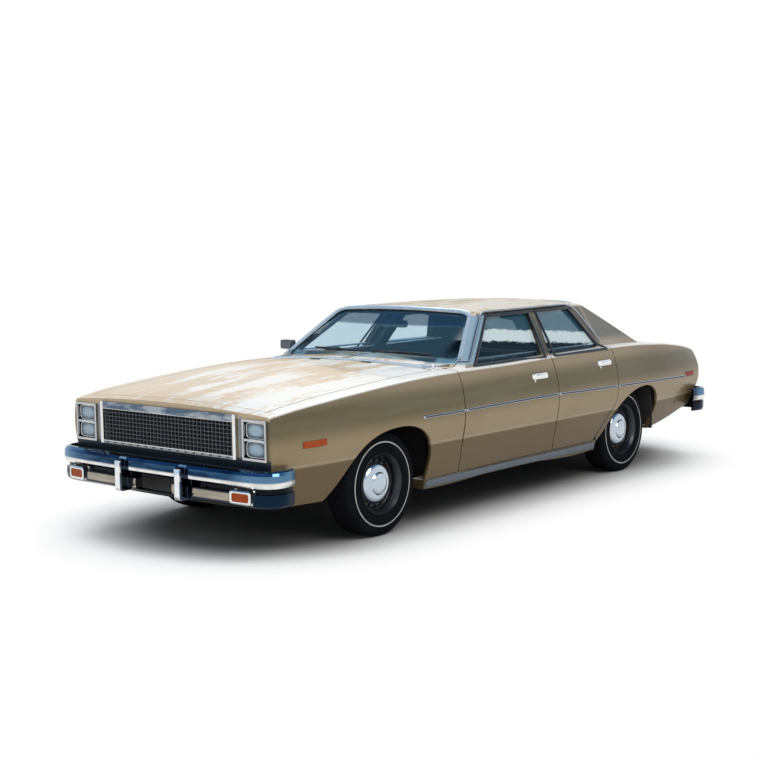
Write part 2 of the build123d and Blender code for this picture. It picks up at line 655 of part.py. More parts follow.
# ---- engine, driveline, exhaust, tank -------------------------------------------------
engine_x0, engine_x1 = 1080, 1840
engine_half, engine_z0, engine_z1 = 290, 380, 790
keep("engine", block(engine_x0, engine_x1, -engine_half, engine_half, engine_z0, engine_z1))

shaft_z = 285
gearbox_r, gearbox_back_x, shaft_r = 120, 300, 38
axle_nose = 140              # the final drive's nose ahead of the axle
keep("driveline", rod_x(gearbox_r, gearbox_back_x, engine_x0 - seat_gap, 0, shaft_z)
     + rod_x(shaft_r, rear_axle_x + axle_nose + seat_gap, gearbox_back_x, 0, shaft_z))

hub_r = 30
hub_end = half_track + 40
drum_r = 132
drum_in, drum_out = half_track - 130, half_track - 62
axle_parts = [rod_y(shaft_r, -drum_in, drum_in, rear_axle_x, axle_z),
              rod_x(130, rear_axle_x - 120, rear_axle_x + axle_nose, 0, axle_z - 20)]
for sign in (1, -1):
    axle_parts.append(rod_y(drum_r, *sorted((sign * drum_in, sign * drum_out)), rear_axle_x, axle_z))
    axle_parts.append(rod_y(hub_r, *sorted((sign * drum_out, sign * hub_end)), rear_axle_x, axle_z))
keep("rear_axle", join(*axle_parts))

spring_y, spring_w, leaf_thick = 520, 64, 24
leaf_top = axle_z - shaft_r - seat_gap
leaf_x0, leaf_x1 = rear_axle_x - 640, rear_axle_x + 430
hanger_top = cargo_z - plate - seat_gap
springs = []
for sign in (1, -1):
    y0, y1 = spring_y - spring_w / 2, spring_y + spring_w / 2
    springs.append(join(
        side_block(sign, leaf_x0, leaf_x1, y0, y1, leaf_top - leaf_thick, leaf_top),
        side_block(sign, leaf_x1 - 50, leaf_x1, y0, y1, leaf_top - leaf_thick, hanger_top),
        side_block(sign, leaf_x0, leaf_x0 + 40, y0, y1, leaf_top - leaf_thick, hanger_top)))
keep("leaf_springs", *springs)

pipe_r = 26
pipe_y, pipe_z = 230, 225
pipe_front_x, pipe_back_x = 1120, -1560
muffler_x0, muffler_x1, muffler_r = -2420, -2040, 60
muffler_y, muffler_z = 410, 350
pipe_end_x = tail_x + 40
link_run = Vector(muffler_x1 - pipe_back_x, muffler_y - pipe_y, muffler_z - pipe_z)
keep_main("exhaust", join(
    rod_x(pipe_r, pipe_back_x, pipe_front_x, pipe_y, pipe_z),
    rod_z(pipe_r, pipe_z, engine_z0 - seat_gap, pipe_front_x, pipe_y),
    Solid.make_cylinder(pipe_r, link_run.length, Plane(origin=(pipe_back_x, pipe_y, pipe_z), z_dir=link_run)),
    rod_x(muffler_r, muffler_x0, muffler_x1, muffler_y, muffler_z),
    rod_x(pipe_r, pipe_end_x, muffler_x0, muffler_y, muffler_z),
    block(-2240, -2200, muffler_y - 20, muffler_y + 20, muffler_z + 50, rear_rail_z0 - seat_gap)))
keep("fuel_tank", block(-2500, -2080, -330, 330, 300, hanger_top))

# ---- front suspension and knuckles ----------------------------------------------------
kingpin_y = 700
kingpin_r = 12
ball_low, ball_top = 250, 430
arm_half = 12
arm_root_y = rail_out + seat_gap
arm_end = 32
beam = block(front_axle_x - 70, front_axle_x + 70, -arm_root_y, arm_root_y, ball_low - arm_half,
             rail_z0 - seat_gap)


def control_arm(sign, z):
    """Wedge-shaped arm from the rail to the kingpin."""
    wedge = plan_prism([(front_axle_x - 90, sign * arm_root_y), (front_axle_x + 90, sign * arm_root_y),
                        (front_axle_x + arm_end, sign * kingpin_y),
                        (front_axle_x - arm_end, sign * kingpin_y)],
                       z - arm_half, z + arm_half)
    eye = rod_z(arm_end, z - arm_half, z + arm_half, front_axle_x, sign * kingpin_y)
    return wedge + eye - rod_z(kingpin_r + pin_fit, z - 2 * arm_half, z + 2 * arm_half, front_axle_x,
                               sign * kingpin_y)


keep("front_suspension", join(beam, control_arm(1, ball_low), control_arm(-1, ball_low)),
     control_arm(1, ball_top), control_arm(-1, ball_top))

post_r = 28
disc_w = 24
disc_in = kingpin_y + 38
for side, sign in (("left", 1), ("right", -1)):
    post = rod_z(post_r, ball_low + arm_half + seat_gap, ball_top - arm_half - seat_gap, front_axle_x,
                 sign * kingpin_y)
    pin = rod_z(kingpin_r, ball_low - arm_half, ball_top + arm_half, front_axle_x, sign * kingpin_y)
    spindle = rod_y(hub_r, *sorted((sign * kingpin_y, sign * hub_end)), front_axle_x, axle_z)
    brake = rod_y(drum_r, *sorted((sign * disc_in, sign * (disc_in + disc_w))), front_axle_x, axle_z)
    keep(f"knuckle_{side}", join(post, pin, spindle, brake))

# ---- wheels and tyres -----------------------------------------------------------------
rim_r = 190
rim_half = 90
cap_r = 137
half_tread = tyre_width / 2


def turned(points, axle_x, sign):
    """Solid turned about an axle from (radius, outward offset) points."""
    y = sign * half_track
    face = Face(Wire.make_polygon([Vector(axle_x, y + sign * v, axle_z + r) for r, v in points], close=True))
    return Solid.revolve(face, 360, Axis((axle_x, 0, axle_z), (0, 1, 0)))


hub_face = hub_end - half_track + seat_gap
wheel_profile = [
    (hub_r + pin_fit, -36), (58, -36), (58, 6), (118, 14), (150, 2), (170, 2), (170, -rim_half + 8),
    (rim_r + 4, -rim_half), (rim_r + 4, -rim_half - 6), (rim_r + 8, -rim_half - 6),
    (rim_r + 8, -rim_half + 4),
    (178, -rim_half + 14), (178, rim_half - 14), (rim_r + 8, rim_half - 4), (rim_r + 8, rim_half + 6),
    (rim_r + 4, rim_half + 6), (168, rim_half - 8), (166, 24), (150, 22), (cap_r, 40), (cap_r, 58),
    (120, 74), (70, 86), (0, 90), (0, hub_face), (hub_r + pin_fit, hub_face),
]
tyre_profile = [
    (rim_r + 10, -rim_half + 2), (rim_r + 62, -half_tread), (tyre_radius - 26, -half_tread + 8),
    (tyre_radius, -half_tread + 32), (tyre_radius, half_tread - 32), (tyre_radius - 26, half_tread - 8),
    (rim_r + 62, half_tread), (rim_r + 10, rim_half - 2), (180, rim_half - 16), (180, -rim_half + 16),
]
for side, sign in (("left", 1), ("right", -1)):
    for place, axle_x in (("front", front_axle_x), ("rear", rear_axle_x)):
        wheel = turned(wheel_profile, axle_x, sign)
        keep(f"wheel_{place}_{side}", wheel)
        keep(f"tyre_{place}_{side}", turned(tyre_profile, axle_x, sign) - wheel)

# ---- bumpers ---------------------------------------------------------------------------
# Plan points of a wrap-round bumper: its end beside the body, its corner, a shoulder and its
# middle; deep and thin are its thickness in the middle and at the ends.
Bumper = namedtuple("Bumper", "tip_x shoulder_x corner_x wrap_x half_y deep thin direction")

front_plan = Bumper(2705, 2690, 2623, 2430, 964, 70, 28, 1)
rear_plan = Bumper(-2720, -2712, -2684, -2480, 964, 34, 24, -1)
shoulder_y = 700
end_share = 0.45             # how much of the section's depth the thin ends keep
corner_in = 14

# Section of the bars, as (height, set back from the outermost face).
front_levels = [(345, 46), (360, 24), (392, 16), (428, 20), (432, 48), (462, 48), (466, 16), (480, 2),
                (505, 0), (540, 4), (556, 18), (566, 46)]
rear_levels = [(372, 26), (388, 14), (440, 12), (452, 20), (458, 20), (468, 4), (500, 0), (536, 2),
               (552, 10), (562, 26)]


def bumper_curve(plan, z, inset, back):
    """Plan curve of a bumper at a height; back is 0 on its outer face and 1 on its inner face."""
    d = plan.direction
    side = inset * end_share + back * plan.thin
    front = inset + back * plan.deep
    half = [Vector(plan.wrap_x, plan.half_y - side, z),
            Vector(plan.corner_x - d * side, plan.half_y - corner_in - side, z),
            Vector(plan.shoulder_x - d * front, shoulder_y, z)]
    mirrored = [Vector(p.X, -p.Y, z) for p in reversed(half)]
    return Edge.make_spline(half + [Vector(plan.tip_x - d * front, 0, z)] + mirrored)


def bumper_bar(plan, levels):
    """Bar whose outer face follows the section's levels and whose inner face is plain."""
    wires = []
    for z, inset in levels:
        face_edge = bumper_curve(plan, z, inset, 0)
        back_edge = bumper_curve(plan, z, 0, 1)
        wires.append(Wire([face_edge, Edge.make_line(face_edge @ 1, back_edge @ 1), back_edge,
                           Edge.make_line(back_edge @ 0, face_edge @ 0)]))
    return Solid.make_loft(wires, ruled=True)


guard_y, guard_w = 275, 60
guard_z0, guard_z1 = 345, 546
guard_round = 22             # how far the guard's rounded face stands ahead of its edges


def guard(plan, reach):
    """Upright guard on a bumper's left half, with a rounded face that stands out by reach."""
    d = plan.direction
    face_x = plan.tip_x + d * reach
    root_x = plan.tip_x - d * (plan.deep - 5)
    side = side_prism([(root_x, guard_z0), (face_x - d * 20, guard_z0), (face_x, guard_z0 + 24),
                       (face_x, guard_z1 - 44), (face_x - d * 16, guard_z1 - 10),
                       (face_x - d * 40, guard_z1), (root_x, guard_z1)], guard_y - 60, guard_y + 60)
    y0, y1 = guard_y - guard_w / 2, guard_y + guard_w / 2
    edges = [
        Edge.make_three_point_arc(Vector(face_x - d * guard_round, y0, 0), Vector(face_x, guard_y, 0),
                                  Vector(face_x - d * guard_round, y1, 0)),
        Edge.make_line(Vector(face_x - d * guard_round, y1, 0), Vector(root_x, y1, 0)),
        Edge.make_line(Vector(root_x, y1, 0), Vector(root_x, y0, 0)),
        Edge.make_line(Vector(root_x, y0, 0), Vector(face_x - d * guard_round, y0, 0)),
    ]
    return side & Solid.extrude(Face(Wire(edges)), Vector(0, 0, 600))


turn_y0, turn_y1 = 690, 818
turn_z0, turn_z1 = 380, 432
turn_back_x = 2640
turn_round = 14
bezel_w = 16
air_half, air_z0, air_z1 = 168, 362, 446     # opening below the blade, between the guards

front_bar = bumper_bar(front_plan, front_levels)
bezel_bar = bumper_bar(front_plan, [(turn_z0 - bezel_w, 10), (turn_z0 - bezel_w / 2, 2),
                                    (turn_z1 + bezel_w / 2, 2), (turn_z1 + bezel_w, 10)])
lens_bar = bumper_bar(front_plan, [(turn_z0 - 1, 6), (turn_z1 + 1, 6)])
front_parts = [front_bar, *both_sides(guard(front_plan, 45))]
bezel = bezel_bar & rounded_block(turn_back_x, front_plan.tip_x + 20, turn_y0 - bezel_w, turn_y1 + bezel_w,
                                  turn_z0 - bezel_w, turn_z1 + bezel_w, turn_round + bezel_w / 2)
front_parts += both_sides(bezel)
for sign in (1, -1):
    front_parts.append(side_block(sign, frame_front_x + seat_gap, front_plan.tip_x - front_plan.deep + 20,
                                  rail_in, rail_out, 400, rail_z1))
front_bumper = join(*front_parts)
front_bumper = front_bumper - block(frame_front_x + 60, front_plan.tip_x + 50, -air_half, air_half,
                                    air_z0, air_z1)
lens_space = rounded_block(turn_back_x, front_plan.tip_x + 20, turn_y0, turn_y1, turn_z0, turn_z1, turn_round)
lens = lens_bar & rounded_block(turn_back_x + seat_gap, front_plan.tip_x + 20, turn_y0 + seat_gap,
                                turn_y1 - seat_gap, turn_z0 + seat_gap, turn_z1 - seat_gap, turn_round)
for pocket in both_sides(lens_space):
    front_bumper = front_bumper - pocket
keep_main("front_bumper", front_bumper)

rear_parts = [bumper_bar(rear_plan, rear_levels), *both_sides(guard(rear_plan, 30))]
for sign in (1, -1):
    rear_parts.append(side_block(sign, rear_plan.tip_x + rear_plan.deep - 10, cargo_x - 40 - seat_gap,
                                 rail_in, rail_out, *rear_bracket_z))
keep_main("rear_bumper", join(*rear_parts))

# ---- grille and lamps --------------------------------------------------------------------
surround_x = nose_x + 18
surround_w = 26
surround_top_w = 46
surround_low_w = 20
grille_fit = 0.5
bar_half = 2
bar_front_x, bar_back_x = nose_x - 6, nose_x - 38
grille_y = grille_half - surround_w
grille_z0, grille_z1 = grille_low + surround_low_w, grille_top - surround_top_w
surround = block(bar_back_x - 2, surround_x, -grille_half + grille_fit, grille_half - grille_fit,
                 grille_low + grille_fit, grille_top - grille_fit)
surround = surround - block(bar_back_x + 2, surround_x + 9, -grille_y, grille_y, grille_z0, grille_z1)
grille_columns, grille_rows = 36, 8
bars = [surround]
for i in range(1, grille_columns):
    y = -grille_y + i * 2 * grille_y / grille_columns
    bars.append(block(bar_back_x, bar_front_x, y - bar_half, y + bar_half, grille_z0 - 2, grille_z1 + 2))
for i in range(1, grille_rows):
    z = grille_z0 + i * (grille_z1 - grille_z0) / grille_rows
    bars.append(block(bar_back_x, bar_front_x, -grille_y - 2, grille_y + 2, z - bar_half, z + bar_half))
keep_main("grille", join(*bars))

bezel_edge = 14
bezel_back_x, bezel_front_x = nose_x - 50, nose_x + 14
lamp_mid = (lamp_low + lamp_top) / 2
bezels, lamps = [], []
for sign in (1, -1):
    frame = side_block(sign, bezel_back_x, bezel_front_x, lamp_in + grille_fit, lamp_out - grille_fit,
                       lamp_low + grille_fit, lamp_top - grille_fit)
    for z0, z1 in ((lamp_low + bezel_edge, lamp_mid - bezel_edge / 2),
                   (lamp_mid + bezel_edge / 2, lamp_top - bezel_edge)):
        frame = frame - side_block(sign, bezel_back_x + 6, bezel_front_x + 10, lamp_in + bezel_edge,
                                   lamp_out - bezel_edge, z0, z1)
        lamps.append(side_block(sign, bezel_back_x + 6 + seat_gap, nose_x - 2,
                                lamp_in + bezel_edge + seat_gap, lamp_out - bezel_edge - seat_gap,
                                z0 + seat_gap, z1 - seat_gap))
    bezels.append(frame)
keep("headlamp_bezels", *bezels)
keep("headlamps", *lamps)

lamp_skin = body_solid(-6) - body_outer
marker_high = 40


def marker(x0, x1, z):
    """Side lamp that stands a little out of the left flank."""
    return lamp_skin & block(x0, x1, 800, 1000, z - marker_high / 2, z + marker_high / 2)


tail_lamp = (block(tail_x - 12, tail_x + 60, 420, 800, 655, 785) & body_solid(-12)) - body_outer
keep("turn_and_marker_lamps", *both_sides(lens), *both_sides(solids_of(marker(2150, 2340, 688))[0]))
keep("tail_lamps", *both_sides(solids_of(tail_lamp)[0]),
     *both_sides(solids_of(marker(-2560, -2400, 690))[0]))

# ---- interior ----------------------------------------------------------------------------
dash_back_x, dash_half = 600, 685
dash_top = bulkhead_x - plate - seat_gap
dash = block(dash_back_x, dash_top, -dash_half, dash_half, 640, 985)
dash = dash - block(dash_back_x - 100, dash_back_x + 80, -900, 900, 600, 780)
dash = dash & body_solid(skin + 24)
steer_x, steer_y, steer_z, steer_r = 490, -380, 905, 190
steer_tilt = 24
rim_thick, hub_wide, column_r = 13, 46, 28
steer_dir = Vector(-cos(radians(steer_tilt)), 0, sin(radians(steer_tilt)))
steer_centre = Vector(steer_x, steer_y, steer_z)
steer_plane = Plane(origin=steer_centre, z_dir=steer_dir)
column = Solid.make_cylinder(column_r, 190, Plane(origin=steer_centre - steer_dir * 230, z_dir=steer_dir))
keep_main("dashboard", dash + column)
ring = Solid.make_torus(steer_r, rim_thick, steer_plane)
hub = Solid.make_cylinder(hub_wide, 50, Plane(origin=steer_centre - steer_dir * (40 - seat_gap),
                                              z_dir=steer_dir))
spoke_w, spoke_thick = 34, 14
spoke = Solid.make_box(2 * steer_r, spoke_w, spoke_thick,
                       Plane(origin=steer_centre - steer_dir * spoke_thick / 2, z_dir=steer_dir))
spoke = spoke.moved(Location(-steer_plane.x_dir * steer_r - steer_plane.y_dir * spoke_w / 2))
keep_main("steering_wheel", join(ring, hub, spoke))

back_thick = 150


def seat(x0, x1, z0, z1, back_x, back_top, half, lean):
    """Bench: a cushion and a back that leans to the rear."""
    cushion = block(x0, x1, -half, half, z0, z1)
    back = side_prism([(back_x, z0), (back_x + back_thick, z0), (back_x + back_thick - 20 - lean, back_top),
                       (back_x + 10 - lean, back_top)], -half, half)
    return cushion + back


seat_z, cushion_low_z = 500, floor_z + 170
bench = seat(-330, 190, cushion_low_z, seat_z, -420, 960, 690, 70)
for sign in (1, -1):
    bench = bench + side_block(sign, -300, 120, 200, 640, floor_z + seat_gap, cushion_low_z + 8)
keep("front_seat", bench)
keep("rear_seat", seat(-1380, -940, cargo_z + seat_gap, cargo_z + 60, -1480, 965, 630, 60))

mirror_x, mirror_tip_y = 480, -990
case = block(mirror_x - 30, mirror_x + 40, mirror_tip_y, mirror_tip_y + 112, 1042, 1112)
case = case.fillet(14, case.edges())
arm = block(mirror_x - 15, mirror_x + 15, -920, -890, 975, 1060)
mirror = join(arm, case) - body_solid(0.3) - house_outer - nodes["front_door_right"]
keep_main("door_mirror", mirror)

for name, shape in nodes.items():
    export_step(shape, f"parts/{name}.step")
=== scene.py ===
import bmesh
import bpy
from functools import lru_cache
from math import cos, pi, radians, sin

import numpy as np
from mathutils import Matrix, Vector
from mathutils.bvhtree import BVHTree


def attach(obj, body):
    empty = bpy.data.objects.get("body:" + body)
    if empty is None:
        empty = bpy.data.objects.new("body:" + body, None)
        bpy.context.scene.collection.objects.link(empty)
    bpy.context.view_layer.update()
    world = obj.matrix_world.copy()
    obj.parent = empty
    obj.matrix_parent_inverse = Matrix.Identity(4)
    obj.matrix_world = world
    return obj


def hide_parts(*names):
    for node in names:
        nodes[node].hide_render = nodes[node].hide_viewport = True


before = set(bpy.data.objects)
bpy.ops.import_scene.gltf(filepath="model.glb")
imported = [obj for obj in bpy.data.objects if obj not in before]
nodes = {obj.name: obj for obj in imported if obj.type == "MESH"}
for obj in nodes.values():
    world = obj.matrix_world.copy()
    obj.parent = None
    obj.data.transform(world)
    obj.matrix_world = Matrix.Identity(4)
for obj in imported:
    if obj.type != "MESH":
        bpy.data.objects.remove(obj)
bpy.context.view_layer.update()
scene = bpy.context.scene

# The car's own frame: +X forward, +Y its left, +Z up, the floor at z = 0, in metres.
FRONT_AXLE, REAR_AXLE = 1.5625, -1.4225
AXLE_Z = 0.338
TRACK = 0.800
STEER_CENTRE, STEER_TILT = (0.490, -0.380, 0.905), 24
# The headlamps' lenses: two on each side, LAMP_STEP above and below LAMP_Z.
LAMP_X, LAMP_Y, LAMP_Z, LAMP_STEP = 2.5535, 0.772, 0.730, 0.0565
# The front bumper's guards and lamps, out from the middle.
GUARD_Y, BUMPER_LAMP_Y = 0.275, 0.754


# ---- camera and lights ---------------------------------------------------------------
def look(azimuth, elevation, roll):
    """Camera axes from the direction it stands in and its roll, in degrees."""
    az, el, turn = radians(azimuth), radians(elevation), radians(roll)
    back = Vector((cos(az) * cos(el), sin(az) * cos(el), sin(el)))
    right = Vector((0, 0, 1)).cross(back).normalized()
    up = back.cross(right)
    across = cos(turn) * right + sin(turn) * up
    upward = -sin(turn) * right + cos(turn) * up
    return Matrix((across, upward, back)).transposed()


camera = bpy.data.objects.new("camera", bpy.data.cameras.new("camera"))
scene.collection.objects.link(camera)
scene.camera = camera
camera.matrix_world = Matrix.Translation((8.417, 6.659, 1.962)) @ look(40.073, 6.112, -0.871).to_4x4()
camera.data.sensor_width = 36
camera.data.lens = 67.58
camera.data.clip_end = 200


def area_light(name, place, target, size, power, colour):
    """Rectangular lamp that looks at a target."""
    lamp = bpy.data.lights.new(name, "AREA")
    lamp.shape = "RECTANGLE"
    lamp.size, lamp.size_y = size
    lamp.energy = power
    lamp.color = colour
    obj = bpy.data.objects.new(name, lamp)
    obj.location = place
    obj.rotation_euler = (Vector(target) - Vector(place)).to_track_quat("-Z", "Y").to_euler()
    scene.collection.objects.link(obj)


area_light("key", (2.5, 7.5, 7.0), (0, 0, 0.6), (6, 5), 420, (1, 0.97, 0.93))
area_light("front", (9.0, 0.5, 4.5), (2, 0, 0.6), (5, 3), 150, (0.96, 0.98, 1))
area_light("rear", (-5.0, -4.0, 8.0), (-0.5, 0, 0.8), (5, 4), 230, (0.96, 0.98, 1))
scene.view_settings.view_transform = "Standard"


# ---- shader building -----------------------------------------------------------------
class Value:
    """A socket that adds, subtracts, multiplies and divides like a number."""

    def __init__(self, shader, socket):
        self.shader, self.socket = shader, socket

    def math(self, operation, *values):
        """An operation on the given values, or on this one alone."""
        return self.shader.node("ShaderNodeMath", values or [self], operation=operation)

    def __add__(self, other):
        return self.math("ADD", self, other)

    def __sub__(self, other):
        return self.math("SUBTRACT", self, other)

    def __rsub__(self, other):
        return self.math("SUBTRACT", other, self)

    def __mul__(self, other):
        return self.math("MULTIPLY", self, other)

    def __truediv__(self, other):
        return self.math("DIVIDE", self, other)

    __radd__, __rmul__ = __add__, __mul__

    def __abs__(self):
        return self.math("ABSOLUTE")

    def root(self):
        """Square root."""
        return self.math("POWER", self, 0.5)

    def wave(self):
        """Sine, in radians."""
        return self.math("SINE")

    def between(self, low, high):
        """0 below low, 1 above high, smooth between."""
        return self.shader.node("ShaderNodeMapRange", {"Value": self, "From Min": low, "From Max": high},
                                interpolation_type="SMOOTHSTEP")

    def band(self, low, high, soft):
        """1 between low and high, 0 outside, with soft edges."""
        return self.between(low - soft, low) * (1 - self.between(high, high + soft))


class Shader:
    """A material or world made of nodes."""

    def __init__(self, name, owner=None):
        self.material = owner or bpy.data.materials.new(name)
        self.material.use_nodes = True
        self.tree = self.material.node_tree
        self.tree.nodes.clear()

    def node(self, kind, inputs=(), output=0, **settings):
        """A node's output: settings first, then its inputs; three numbers on a colour are opaque."""
        made = self.tree.nodes.new(kind)
        for key, value in settings.items():
            setattr(made, key, value)
        for key, value in inputs.items() if isinstance(inputs, dict) else enumerate(inputs):
            socket = made.inputs[key]
            if isinstance(value, Value):
                self.tree.links.new(value.socket, socket)
            else:
                socket.default_value = (*value, 1) if socket.type == "RGBA" else value
        return Value(self, made.outputs[output] if made.outputs else None)

    def parts(self, vector):
        """The x, y and z of a vector."""
        split = self.node("ShaderNodeSeparateXYZ", [vector]).socket.node
        return [Value(self, output) for output in split.outputs]

    def place(self):
        """Where the surface point lies in the car's own frame."""
        return self.node("ShaderNodeTexCoord", output="Object")

    def axes(self):
        """The x, y and z of the surface point."""
        return self.parts(self.place())

    def facing(self):
        """The three parts of the direction in which the surface faces."""
        return self.parts(self.node("ShaderNodeNewGeometry", output="Normal"))

    def noise(self, scale, detail=3.0, roughness=0.55, stretch=(1, 1, 1)):
        """Cloudy pattern from 0 to 1, finer with scale, its axes scaled by stretch."""
        spot = self.node("ShaderNodeMapping", {"Vector": self.place(), "Scale": stretch})
        return self.node("ShaderNodeTexNoise", {"Vector": spot, "Scale": scale, "Detail": detail,
                                                "Roughness": roughness})

    def mix(self, share, a, b):
        """Colour a where share is 0, b where it is 1."""
        return self.node("ShaderNodeMix", {0: share, 6: a, 7: b}, output=2, data_type="RGBA")

    def coats(self, base, *layers):
        """Each layer's colour laid over what is below it, by its share."""
        for share, colour in layers:
            base = self.mix(share, base, colour)
        return base

    def bump(self, height, strength, distance):
        return self.node("ShaderNodeBump", {"Height": height, "Strength": strength, "Distance": distance})

    def surface(self, kind, **inputs):
        """A shader node, its inputs named with _ for a space."""
        return self.node(kind, {key.replace("_", " "): value for key, value in inputs.items()})

    def blend(self, share, a, b):
        """Surface a where share is 0, b where it is 1."""
        return self.node("ShaderNodeMixShader", [share, a, b])

    def done(self, value, kind="ShaderNodeOutputMaterial"):
        """The finished material or world, with its surface joined to the output."""
        self.node(kind, [value])
        return self.material

    def finish(self, **inputs):
        """The finished material with one principled surface."""
        return self.done(self.surface("ShaderNodeBsdfPrincipled", **inputs))

    def seen(self):
        """1 for rays from the camera, and 1 for those, mirrored and transmitted rays together."""
        path = self.node("ShaderNodeLightPath").socket.node
        rays = [Value(self, path.outputs[name])
                for name in ("Is Camera Ray", "Is Glossy Ray", "Is Transmission Ray")]
        return rays[0], (rays[0] + rays[1] + rays[2]).between(0, 0.5)


# White at the horizon, pale blue above it and deeper blue overhead.
SKY = [(0.0, (0.30, 0.28, 0.25)), (0.49, (0.42, 0.41, 0.40)), (0.505, (1, 1, 1)), (0.64, (1, 1, 1)),
       (0.73, (0.42, 0.60, 0.78)), (0.84, (0.09, 0.21, 0.40)), (1.0, (0.04, 0.11, 0.25))]


def make_world():
    """White behind the car, a sky in its reflections, and an even soft light on it."""
    s = Shader("studio", bpy.data.worlds.new("studio"))
    height = s.parts(s.node("ShaderNodeTexCoord", output="Generated"))[2]
    ramp = s.node("ShaderNodeValToRGB", [height * 0.5 + 0.5])
    elements = ramp.socket.node.color_ramp.elements
    while len(elements) < len(SKY):
        elements.new(0.5)
    for element, (position, colour) in zip(elements, SKY):
        element.position, element.color = position, (*colour, 1)
    camera_ray, seen = s.seen()
    mirrored = s.surface("ShaderNodeBackground", Color=s.mix(camera_ray, ramp, (1.0, 1.0, 1.0)))
    even = s.surface("ShaderNodeBackground", Color=(0.94, 0.97, 1.0), Strength=0.78)
    scene.world = s.done(s.blend(seen, even, mirrored), "ShaderNodeOutputWorld")


make_world()


def floor_material():
    """Pale floor with a painted shadow: darker in a soft rounded patch under the car, turning into the white
    background.
    """
    s = Shader("pale_floor")
    x, y, z = s.axes()
    past = x.math("MAXIMUM", abs(x) - 1.72, 0.0)
    away = (past * past + y * y).root()
    shade = s.mix(s.noise(30, 3).between(0.3, 0.7), (0.86, 0.86, 0.86), (0.88, 0.88, 0.88))
    # painted shadow: the floor's colour darkens in a soft rounded patch under the car
    shade = s.mix(away.between(0.60, 1.28), (0.14, 0.14, 0.14), shade)
    near = s.surface("ShaderNodeBsdfDiffuse", Color=shade)
    far = s.surface("ShaderNodeEmission", Color=(1.0, 1.0, 1.0))
    return s.done(s.blend(s.seen()[1] * away.between(1.02, 1.65), near, far))


